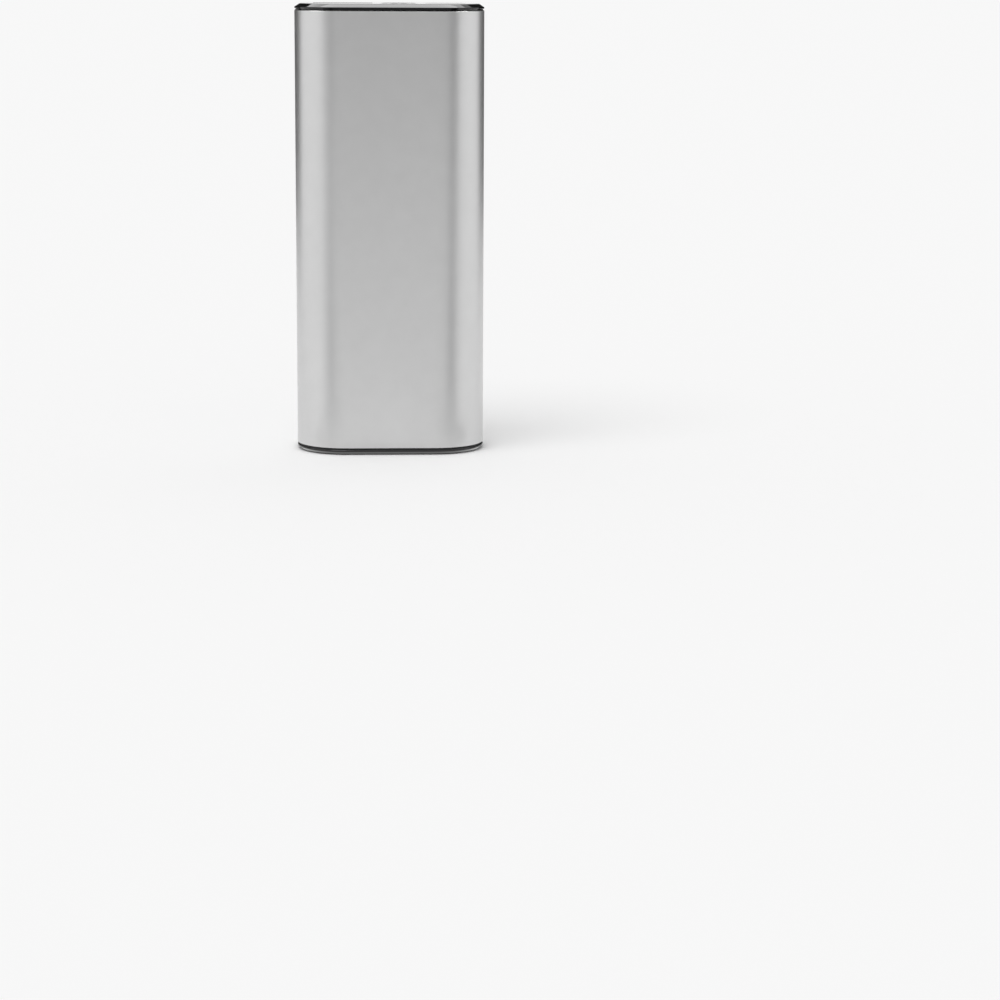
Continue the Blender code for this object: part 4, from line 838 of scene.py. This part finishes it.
contact_y = TONGUE_FRONT - WIDE_STAND / 2
contact_row(
    "wide_socket_contacts", WIDE_X, contact_y, WIDE_CONTACT, WIDE_STAND,
    BLOCK_TOP, tongue_high.z - WIDE_CONTACT_START, 4, WIDE_PITCH,
)
small_tongue_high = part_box("usb_c_tongue")[1].z
for word, side in (("front", -1), ("rear", 1)):
    contact_row(
        f"small_socket_contacts_{word}", SMALL_X, side * (SMALL_TONGUE_HALF + SMALL_STAND / 2),
        SMALL_CONTACT, SMALL_STAND, small_tongue_high - SMALL_CONTACT_END,
        small_tongue_high - SMALL_CONTACT_START, 12, SMALL_PITCH,
    )

FINGER_HALF_WIDTH, FINGER_HALF_THICKNESS, FINGER_CORNER = 1.2 * MM, 0.09 * MM, 0.06 * MM
FINGER_START, FINGER_END, FINGER_PITCH = 1.0 * MM, 7.0 * MM, 5.6 * MM
FINGER_BULGE, FINGER_FROM_WALL, FINGER_STEPS = 0.5 * MM, 0.06 * MM, 14
finger_y = -WIDE_HALF.y + SHELL_WALL + FINGER_FROM_WALL
sections = []
for step in range(FINGER_STEPS + 1):
    share = step / FINGER_STEPS
    y = finger_y + FINGER_BULGE * math.sin(math.pi * share) ** 2
    outline = rounded(FINGER_HALF_WIDTH, FINGER_HALF_THICKNESS, FINGER_CORNER, 3, WIDE_X, y)
    sections.append((outline, wide_high.z - FINGER_END + (FINGER_END - FINGER_START) * share))
values = {"Count": 2, "Pitch": FINGER_PITCH, "Finish": nickel}
finger = solid("wide_socket_fingers", sections)
fingers = grown("wide_socket_fingers", row, values, finger)
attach(fingers, "case")

# %% [markdown]
# ## The charge lights
#
# Four lights sit on the board, and one clear moulding brings them up to the cover: a bar
# with a round pip for each. The pips are a row of equal turned pieces, so the same node
# tree makes them. Each pip has a low dome with a frosted skin. A frosted pip hides the
# board under it while it is off, and spreads the light when it is on.

# %% Mould the light guide
# Clear polycarbonate with a frosted skin: it passes light but blurs what is behind it.
frosted = start_finish(
    "polycarbonate, frosted", "#F2F5F6", "#E6EAEC", roughness=0.3, spread=0.05, grain_mm=0.12,
    relief_mm=0.0006, IOR=1.585, Transmission_Weight=0.65,
)
GUIDE_BAR, GUIDE_CORNER, GUIDE_EDGE = 2.1 * MM, 0.3 * MM, 0.1 * MM
guide_half, guide_y = (guide_high - guide_low) / 2, (guide_low.y + guide_high.y) / 2


def bar_outline(grow):
    """The bar's section, seen from above."""
    half_x, half_y = guide_half.x + grow, guide_half.y + grow
    return rounded(half_x, half_y, GUIDE_CORNER + grow, 6, BUTTON_X, guide_y)


bar_top = guide_low.z + GUIDE_BAR
bar = block_mesh("light_guide_bar", bar_outline, guide_low.z, bar_top, GUIDE_EDGE)
fit(bar, frosted, "case", "clear_guide", "light_guide")

PIP_EDGE, PIP_DOME, DOME_STEPS = 0.12 * MM, 0.06 * MM, 6
profile = [(PIP_RADIUS, bar_top)]
for inset, depth in quarter_round(PIP_EDGE, steps=4):
    profile.append((PIP_RADIUS - inset, guide_high.z - PIP_DOME - depth))
pip_rim = PIP_RADIUS - PIP_EDGE
for step in range(1, DOME_STEPS):
    share = 1 - step / DOME_STEPS
    profile.append((pip_rim * share, guide_high.z - PIP_DOME * share**2))
pip = solid("light_pips", [(round_hole(radius, BUTTON_X, PIP_Y, 32), z) for radius, z in profile])
values = {"Count": PIP_COUNT, "Pitch": PIP_PITCH, "Finish": frosted}
pips = grown("light_pips", row, values, pip)
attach(pips, "case")

# %% [markdown]
# ## The pieces inside
#
# From here on the pieces are hidden while the tube is closed. They are dressed all the
# same, because the model can be opened, and then each piece has to look like what it is.
# Their construction has the right shape, so they keep it and only take a finish. Printed,
# etched and welded detail is laid over that finish where a mask is 1. Each mask is worked
# out from distances in millimetres, so the detail sits where the real piece has it.

# %% Three helpers for the pieces that keep their shape


def opened(material):
    """The node tree of a finish, and the place on the piece that it colours."""
    return material.node_tree, material.node_tree.nodes["place"].outputs["Object"]


def dress(look, *pieces):
    """Gives a finish to pieces that keep the shape they have in the frame."""
    for piece in pieces:
        for holder in nodes[piece].material_slots:
            holder.material = look
    print(look.name, "on", len(pieces), "pieces")


def lay_over(material, mask, colour, height_mm=0.0, **sockets):
    """Lays a second surface over a finish where a mask is 1: its colour, how far it stands
    up or lies deep, and any other socket of the shader by name."""
    tree = material.node_tree
    shader = tree.nodes["Principled BSDF"].inputs
    under = shader["Base Color"].links[0].from_socket
    over = add(tree, MIX, {"Factor": mask, 6: under, 7: linear(colour)}, data_type="RGBA")
    tree.links.new(over.outputs[2], shader["Base Color"])
    for socket, value in sockets.items():
        target = shader[socket]
        under = target.links[0].from_socket if target.is_linked else target.default_value
        over = add(tree, MIX, {"Factor": mask, 2: under, 3: value})
        tree.links.new(over.outputs[0], target)
    if height_mm:
        step = {"Height": mask, "Distance": abs(height_mm) * MM, "Strength": 1.0}
        step["Normal"] = shader["Normal"].links[0].from_socket
        step = add(tree, "ShaderNodeBump", step, invert=height_mm < 0)
        tree.links.new(step.outputs[0], shader["Normal"])


print("ready to dress", len(nodes), "pieces")

# %% [markdown]
# ## Frames, half shells and screws
#
# The two end frames, the insulator of the small socket and the base of the switch are
# glass-filled nylon, which stays stiff in thin walls. The two half shells and the switch's
# plunger are ABS. The screws are steel with a thin zinc plate. The clear bath that
# protects the zinc leaves it a little blue in places, so patches of a cooler grey are laid
# over the warm one.

# %% Dress the frames, the half shells and the screws
dress(black_nylon, "top_frame", "bottom_frame", "usb_c_tongue", "switch_base")
dress(white_moulding, "chassis_front", "chassis_rear", "switch_plunger")

# Zinc plate on steel: satin, with a cloudy tint that is bluish here and yellowish there.
zinc = start_finish(
    "zinc plated steel", "#D3D2CC", "#C3C3BF", roughness=0.3, spread=0.06, grain_mm=0.15,
    relief_mm=0.001, drift_mm=1.5, Metallic=1.0,
)
CLOUD_SIZE = 0.9 * MM
tree, place = opened(zinc)
cloud = add(tree, NOISE, {"Vector": place, "Scale": 1 / CLOUD_SIZE})
cloud = add(tree, MAP_RANGE, {"Value": cloud, "From Min": 0.45, "From Max": 0.65})
lay_over(zinc, cloud, "#BCC4D2")
frame_screws = [f"top_frame_screw_{number}" for number in range(1, 5)]
frame_screws += [f"bottom_frame_screw_{number}" for number in range(1, 3)]
dress(zinc, *frame_screws, "board_screw_1", "board_screw_2")

# %% [markdown]
# ## The cells
#
# A lithium cell is a steel can in a sleeve of PVC that was shrunk on with heat. The sleeve
# turns in over both ends, and leaves the middle of each end bare. At the plus end a white
# ring of fibre lies under it, round the contact. The masks measure how far a point is from
# the axis of its cell. Both cells stand as far from the middle, so taking the absolute
# value of x first lets one mask serve the two.

# %% Mix the sleeve and lay the bare ends over it
# Heat-shrunk PVC: saturated, smooth, and drawn tight over the groove.
sleeve = start_finish(
    "PVC sleeve, heat shrunk", "#4381B4", "#3A77A8", roughness=0.27, spread=0.04, grain_mm=2.5,
    relief_mm=0.004, stretch=(1, 1, 4),
)
CELL_X, CELL_CAP_RADIUS, BARE_RADIUS, CELL_END = 9.9 * MM, 3.3 * MM, 7.4 * MM, 1.5 * MM
tree, place = opened(sleeve)
mirrored = add(tree, VECTOR_MATH, (place,), operation="ABSOLUTE")
flat = add(tree, VECTOR_MATH, (mirrored, (1, 1, 0)), operation="MULTIPLY")
from_axis = add(tree, VECTOR_MATH, (flat, (CELL_X, 0, 0)), operation="DISTANCE")
height = add(tree, SPLIT, {"Vector": place}).outputs["Z"]
bare = add(tree, MATH, (from_axis, BARE_RADIUS), operation="LESS_THAN")
upper = add(tree, MATH, (height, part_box("cell_left")[1].z - CELL_END), operation="GREATER_THAN")
round_cap = add(tree, MATH, (from_axis, CELL_CAP_RADIUS), operation="GREATER_THAN")
ring = add(tree, MATH, (bare, upper), operation="MULTIPLY")
ring = add(tree, MATH, (ring, round_cap), operation="MULTIPLY")
lay_over(sleeve, bare, "#C9C6BE", -0.1, Metallic=1.0, Roughness=0.24)
lay_over(sleeve, ring, "#E7E4DC", 0.1, Metallic=0.0, Roughness=0.8)
dress(sleeve, "cell_left", "cell_right")

# %% [markdown]
# ## Strips and card over the cells
#
# A strip of pure nickel is spot welded across each pair of terminals. Each weld leaves a
# small dull pit with a brown heat tint, and they come in fours. Card lies over the strips.
# It is vulcanised fibre, called fish paper: paper that was swollen in acid until its fibres
# fused, tough and a little waxy. Its fibres are far thinner than a pixel, so they are drawn
# several times as thick.

# %% Mix the nickel strip with its welds, and the card
# Rolled nickel: a warm grey, with fine lines along the way it was rolled.
rolled_nickel = start_finish(
    "rolled nickel strip", "#D6D0C4", "#CAC4B8", roughness=0.3, spread=0.06, grain_mm=0.08,
    relief_mm=0.0008, stretch=(14, 1, 1), Metallic=1.0,
)
WELD_OFFSET, WELD_RADIUS = 1.2 * MM, 0.45 * MM
tree, weld = opened(rolled_nickel)
for operation, other in (
    ("ABSOLUTE", (0, 0, 0)),
    ("MULTIPLY", (1, 1, 0)),
    ("SUBTRACT", (CELL_X, 0, 0)),
    ("ABSOLUTE", (0, 0, 0)),
):
    weld = add(tree, VECTOR_MATH, (weld, other), operation=operation)
weld = add(tree, VECTOR_MATH, (weld, (WELD_OFFSET, WELD_OFFSET, 0)), operation="DISTANCE")
pit = add(tree, MAP_RANGE, {"Value": weld, "From Min": WELD_RADIUS, "From Max": WELD_RADIUS * 0.7})
halo = {"Value": weld, "From Min": WELD_RADIUS * 2, "From Max": WELD_RADIUS, "To Max": 0.5}
halo = add(tree, MAP_RANGE, halo)
lay_over(rolled_nickel, halo, "#A88B62")
lay_over(rolled_nickel, pit, "#7F776B", -0.06, Roughness=0.5)
dress(rolled_nickel, "nickel_strip_top", "nickel_strip_bottom")

# Fish paper: dull tan card with fibres that lie every way but mostly along the sheet.
fish_paper = start_finish(
    "vulcanised fibre card", "#C9BB9B", "#BBAD8C", roughness=0.68, spread=0.08, grain_mm=0.2,
    relief_mm=0.012, drift_mm=2.5,
)
FIBRE_SIZE = 0.3 * MM
tree, place = opened(fish_paper)
for along, colour in (((5, 1, 1), "#A5946F"), ((1, 5, 1), "#D9CEB3")):
    fibre = {"Vector": place, "Scale": [1 / stretch for stretch in along]}
    fibre = add(tree, "ShaderNodeMapping", fibre, vector_type="POINT")
    fibre = add(tree, NOISE, {"Vector": fibre, "Scale": 1 / FIBRE_SIZE, "Detail": 1.0})
    fibre = add(tree, MAP_RANGE, {"Value": fibre, "From Min": 0.6, "From Max": 0.66})
    lay_over(fish_paper, fibre, colour, 0.008)
dress(fish_paper, "cell_insulator_top", "cell_insulator_bottom")

# %% [markdown]
# ## The film heaters
#
# A film heater is a long thin track, etched from metal foil and sealed between two sheets
# of amber polyimide. The track runs to and fro across the sheet, so that the heat is even.
# It could be modelled as a ribbon, but it is thinner than a hair. So it is laid over the
# amber: rows with a gap between them, and a bridge across each gap, at the left end and the
# right end in turn. Two tinned pads at the top take the wires.

# %% Mix the amber film and lay the track over it
# Polyimide: a clear amber that darkens over the foil, with a low gloss and slow waves.
amber_film = start_finish(
    "polyimide film, amber", "#D29136", "#C7842B", roughness=0.26, spread=0.05, grain_mm=1.8,
    relief_mm=0.006, drift_mm=6.0,
)
TRACK_PITCH, TRACK_SHARE, TRACK_BRIDGE = 2.4 * MM, 0.66, 1.6 * MM
TRACK_MARGIN, TRACK_BELOW_TOP = 1.2 * MM, 7.0 * MM
heater_low, heater_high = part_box("heater_front")
TRACK_END = heater_high.x - TRACK_MARGIN
tree, place = opened(amber_film)
axes = add(tree, SPLIT, {"Vector": place}).outputs
known = {"x": axes["X"], "z": axes["Z"]}
for name, operation, left, right in (
    ("risen", "SUBTRACT", "z", heater_low.z + TRACK_MARGIN),
    ("turns", "DIVIDE", "risen", TRACK_PITCH),
    ("row", "FLOOR", "turns", 0.0),
    ("in row", "FRACT", "turns", 0.0),
    ("on row", "LESS_THAN", "in row", TRACK_SHARE),
    ("odd row", "FLOORED_MODULO", "row", 2.0),
    ("two sides", "MULTIPLY", "odd row", 2.0),
    ("side", "SUBTRACT", "two sides", 1.0),
    ("across", "MULTIPLY", "x", "side"),
    ("bridge", "GREATER_THAN", "across", TRACK_END - TRACK_BRIDGE),
    ("foil", "MAXIMUM", "on row", "bridge"),
    ("aside", "ABSOLUTE", "x", 0.0),
    ("inside", "LESS_THAN", "aside", TRACK_END),
    ("below pads", "LESS_THAN", "z", heater_high.z - TRACK_BELOW_TOP),
    ("above edge", "GREATER_THAN", "risen", 0.0),
    ("foil inside", "MULTIPLY", "foil", "inside"),
    ("foil below", "MULTIPLY", "foil inside", "below pads"),
    ("track", "MULTIPLY", "foil below", "above edge"),
):
    pair = (known.get(left, left), known.get(right, right))
    known[name] = add(tree, MATH, pair, operation=operation)
lay_over(amber_film, known["track"], "#95642C", 0.03, Roughness=0.32)

PAD_MIDDLE, PAD_OFFSET, PAD_HALF = Vector((-0.55 * MM, 0, 88.2 * MM)), 1.1 * MM, 0.75 * MM
pad = place
for operation, other in (
    ("SUBTRACT", PAD_MIDDLE),
    ("ABSOLUTE", (0, 0, 0)),
    ("SUBTRACT", (PAD_OFFSET, 0, 0)),
    ("ABSOLUTE", (0, 0, 0)),
    ("MULTIPLY", (1, 0, 0.5)),
):
    pad = add(tree, VECTOR_MATH, (pad, other), operation=operation)
pad = add(tree, SPLIT, {"Vector": pad}).outputs
pad = (pad["X"], pad["Z"])
pad = add(tree, MATH, (add(tree, MATH, pad, operation="MAXIMUM"), PAD_HALF), operation="LESS_THAN")
lay_over(amber_film, pad, "#C8C5BD", 0.1, Metallic=1.0, Roughness=0.3)
dress(amber_film, "heater_front", "heater_rear")

# %% [markdown]
# ## The soft pads
#
# A pad of silicone foam presses each heater against the tube. Its cells are closed and
# burst only where it was cut, so the cut face is full of small craters. A Voronoi
# pattern has just that look: round cells of about the same size, none of them in line.
# Each crater is painted darker, which is painted shade in its hollow.

# %% Mix the foam
# Silicone foam: a dull mid grey, with craters half a millimetre across that hold painted shade.
foam = start_finish(
    "silicone foam", "#868688", "#7B7B7D", roughness=0.85, spread=0.06, grain_mm=0.3,
    relief_mm=0.02,
)
CRATER_SIZE = 0.55 * MM
tree, place = opened(foam)
crater_shade = add(tree, "ShaderNodeTexVoronoi", {"Vector": place, "Scale": 1 / CRATER_SIZE})
crater_shade = add(tree, MAP_RANGE, {"Value": crater_shade, "From Min": 0.42, "From Max": 0.2})
# The craters are painted a darker grey: painted shade in their hollows, not a colour of the foam.
lay_over(foam, crater_shade, "#5C5C5E", -0.08)
dress(foam, "heater_pad_front", "heater_pad_rear")

# %% [markdown]
# ## Chips, inductor, capacitors and lights
#
# The board carries two chips, an inductor, two capacitors and four lights. The chips and
# the sensor are cast in black epoxy, which is dull from the silica in it, and a chip has
# a small round dimple by its first contact. The inductor is pressed from iron powder, so
# it is a dark grey with lighter grains. A capacitor is an aluminium can on a black foot,
# with a black segment on its end that marks the minus side.

# %% Mix the epoxy and the pressed iron
# Moulded epoxy: near black, matt, speckled by its filler.
epoxy = start_finish(
    "epoxy, moulded", "#262628", "#1D1D1F", roughness=0.56, spread=0.08, grain_mm=0.12,
    relief_mm=0.002, drift_mm=0.5,
)
DIMPLE_RADIUS, DIMPLE_INSET = 0.32 * MM, 0.8 * MM
tree, place = opened(epoxy)
flat = add(tree, VECTOR_MATH, (place, (1, 0, 1)), operation="MULTIPLY")
nearest = 1.0
for chip in ("controller_chip", "charger_chip"):
    chip_low, chip_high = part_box(chip)
    dimple = (flat, (chip_high.x - DIMPLE_INSET, 0, chip_high.z - DIMPLE_INSET))
    dimple = add(tree, VECTOR_MATH, dimple, operation="DISTANCE")
    nearest = add(tree, MATH, (nearest, dimple), operation="MINIMUM")
dimple = {"Value": nearest, "From Min": DIMPLE_RADIUS, "From Max": DIMPLE_RADIUS * 0.8}
dimple = add(tree, MAP_RANGE, dimple)
lay_over(epoxy, dimple, "#323234", -0.04, Roughness=0.35)
dress(epoxy, "controller_chip", "charger_chip", "thermistor")

# Pressed iron powder: dark, matt, with grains that glint a little.
pressed_iron = start_finish(
    "iron powder, pressed", "#444447", "#38383B", roughness=0.6, spread=0.08, grain_mm=0.2,
    relief_mm=0.008, drift_mm=1.0,
)
IRON_GRAIN = 0.25 * MM
tree, place = opened(pressed_iron)
grains = add(tree, "ShaderNodeTexVoronoi", {"Vector": place, "Scale": 1 / IRON_GRAIN})
grains = add(tree, SPLIT, {"Vector": grains.outputs["Color"]})
grains = add(tree, MAP_RANGE, {"Value": grains.outputs["X"], "From Min": 0.7, "From Max": 1.0})
lay_over(pressed_iron, grains, "#6A6A6E", 0.01, Metallic=0.6, Roughness=0.42)
dress(pressed_iron, "power_inductor")

# %% Mix the capacitor can and the light chip
# Drawn aluminium can: bright, with faint lines along the way it was drawn.
drawn_can = start_finish(
    "aluminium can, drawn", "#DDDDDE", "#D2D2D4", roughness=0.24, spread=0.05, grain_mm=0.08,
    relief_mm=0.0008, stretch=(1, 12, 1), Metallic=1.0,
)
CAN_FOOT, SEGMENT_WIDTH, END_DEPTH = 0.8 * MM, 1.1 * MM, 0.05 * MM
can_low, can_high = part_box("capacitor_1")
tree, place = opened(drawn_can)
axes = add(tree, SPLIT, {"Vector": place}).outputs
foot = add(tree, MATH, (axes["Y"], can_low.y + CAN_FOOT), operation="LESS_THAN")
on_end = add(tree, MATH, (axes["Y"], can_high.y - END_DEPTH), operation="GREATER_THAN")
segment = add(tree, MATH, (axes["Z"], can_high.z - SEGMENT_WIDTH), operation="GREATER_THAN")
segment = add(tree, MATH, (segment, on_end), operation="MULTIPLY")
lay_over(drawn_can, foot, "#1F1F21", Metallic=0.0, Roughness=0.5)
lay_over(drawn_can, segment, "#1B1B1D", 0.01, Metallic=0.0, Roughness=0.45)
dress(drawn_can, "capacitor_1", "capacitor_2")

# Light chip: a white ceramic body round a window that is filled with yellow phosphor.
light_chip = start_finish(
    "white ceramic, light chip", "#F0EEE4", "#E5E2D6", roughness=0.4, spread=0.05, grain_mm=0.1,
    relief_mm=0.001, drift_mm=0.4,
)
chip_low, chip_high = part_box("led_1")
WINDOW_HALF = Vector((0.5, 1.0, 0.25)) * MM
tree, window = opened(light_chip)
middle = Vector((BUTTON_X, chip_low.y, (chip_low.z + chip_high.z) / 2))
window = (window, middle - Vector((PIP_PITCH / 2, 0, 0)))
window = add(tree, VECTOR_MATH, window, operation="SUBTRACT")
window = (window, Vector((1, 1, 1)) * PIP_PITCH / 2, Vector((-1, -1, -1)) * PIP_PITCH / 2)
window = add(tree, VECTOR_MATH, window, operation="WRAP")
window = add(tree, VECTOR_MATH, (window,), operation="ABSOLUTE")
window = add(tree, VECTOR_MATH, (window, WINDOW_HALF), operation="DIVIDE")
window = add(tree, SPLIT, {"Vector": window}).outputs
window = (window["X"], window["Z"])
window = add(tree, MATH, (add(tree, MATH, window, operation="MAXIMUM"), 1.0), operation="LESS_THAN")
lay_over(light_chip, window, "#E3C64A", -0.02, Roughness=0.25)
dress(light_chip, *[f"led_{number}" for number in range(1, PIP_COUNT + 1)])

# %% [markdown]
# ## The circuit board
#
# The board is a glass and epoxy laminate under green solder resist. Under the resist,
# the copper shows as a lighter green with narrow darker gaps. In some places it lies in
# wide areas and in others in fine parallel tracks, and small tinned vias join the two
# faces. The two screw holes have a bare tinned ring. The sawn edge shows the laminate
# itself. Areas and tracks both come from a Brick texture, whose bricks are the copper and
# whose joints are the gaps, and a slow noise with a hard edge picks one or the other.

# %% Mix the circuit board
# Solder resist on laminate: a deep clear green, smooth, a little raised over copper.
solder_resist = start_finish(
    "solder resist on glass epoxy", "#1B6A49", "#165C3E", roughness=0.3, spread=0.04,
    grain_mm=0.35, relief_mm=0.002, drift_mm=5.0,
)
AREA_SIZE, TRACK_SIZE, COPPER_GAP = (6.4 * MM, 3.1 * MM), (0.62 * MM, 7.5 * MM), 0.12 * MM
PATCH_SIZE = 7.0 * MM
VIA_PITCH, VIA_RADIUS, SCREW_RING = 3.4 * MM, 0.28 * MM, 2.3 * MM
tree, place = opened(solder_resist)
axes = add(tree, SPLIT, {"Vector": place}).outputs
face = add(tree, "ShaderNodeCombineXYZ", {"X": axes["X"], "Y": axes["Z"]})
gaps = []
for width, height in (AREA_SIZE, TRACK_SIZE):
    joints = {"Vector": face, "Scale": 1.0, "Mortar Size": COPPER_GAP, "Mortar Smooth": 0.1}
    joints |= {"Brick Width": width, "Row Height": height}
    joints = add(tree, "ShaderNodeTexBrick", joints, offset=0.37, squash=1.6, squash_frequency=3)
    gaps.append(joints.outputs["Fac"])
patch = add(tree, NOISE, {"Vector": face, "Scale": 1 / PATCH_SIZE, "Detail": 0.0})
patch = add(tree, MATH, (patch, 0.5), operation="GREATER_THAN")
copper = add(tree, MIX, {"Factor": patch, 2: gaps[0], 3: gaps[1]})
copper = add(tree, MATH, (1.0, copper), operation="SUBTRACT")
lay_over(solder_resist, copper, "#27825A", 0.03)
via = {"Vector": face, "Scale": 1 / VIA_PITCH, "Randomness": 0.75}
via = add(tree, "ShaderNodeTexVoronoi", via, voronoi_dimensions="2D")
via = add(tree, MATH, (via, VIA_RADIUS / VIA_PITCH), operation="LESS_THAN")
lay_over(solder_resist, via, "#C6C2B6", 0.03, Metallic=1.0, Roughness=0.3)
for screw in ("board_screw_1", "board_screw_2"):
    middle = (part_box(screw)[0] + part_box(screw)[1]) / 2
    ring = add(tree, VECTOR_MATH, (face, (middle.x, middle.z, 0)), operation="DISTANCE")
    ring = add(tree, MATH, (ring, SCREW_RING), operation="LESS_THAN")
    lay_over(solder_resist, ring, "#CBC8BF", 0.03, Metallic=1.0, Roughness=0.3)
facing = tree.nodes["place"].outputs["Normal"]
facing = add(tree, SPLIT, {"Vector": facing}).outputs["Y"]
facing = add(tree, MATH, (facing,), operation="ABSOLUTE")
sawn = add(tree, MATH, (facing, 0.5), operation="LESS_THAN")
lay_over(solder_resist, sawn, "#A9A468", Metallic=0.0, Roughness=0.8)
dress(solder_resist, "main_board")

# %% [markdown]
# ## The wires
#
# The wires have stranded copper in silicone rubber, which stays supple next to the
# heaters. It is extruded: smooth, with a soft sheen and slow waves along it. Red and black
# go to the cells, white to the heaters.

# %% Dress the wires
# Silicone rubber, extruded: dyed through, and dusty enough to look soft.
for word, light, dark, wires in (
    ("red", "#BF2A27", "#B22321", ["battery_lead_positive"]),
    ("black", "#2A2A2B", "#222223", ["battery_lead_negative"]),
    ("white", "#DEDDD8", "#D3D1CB", [f"heater_lead_{number}" for number in range(1, 5)]),
):
    rubber = start_finish(
        f"silicone rubber, {word}", light, dark, roughness=0.5, spread=0.06, grain_mm=0.6,
        relief_mm=0.006, drift_mm=2.0, Sheen_Weight=0.15,
    )
    dress(rubber, *wires)

# %% [markdown]
# ## Pieces left in the frame's finish
#
# The last lines list the pieces whose finish is still one of the frame's own.

# %% List the pieces in the frame's finish
frame_looks = {entry["slot"] for entry in frame["record"]["materials"]}
looks = {name: node.material_slots[0].material.name for name, node in nodes.items()}
plain = sorted(name for name, look in looks.items() if look in frame_looks)
print("replaced, so left in the frame's own finish:", plain)
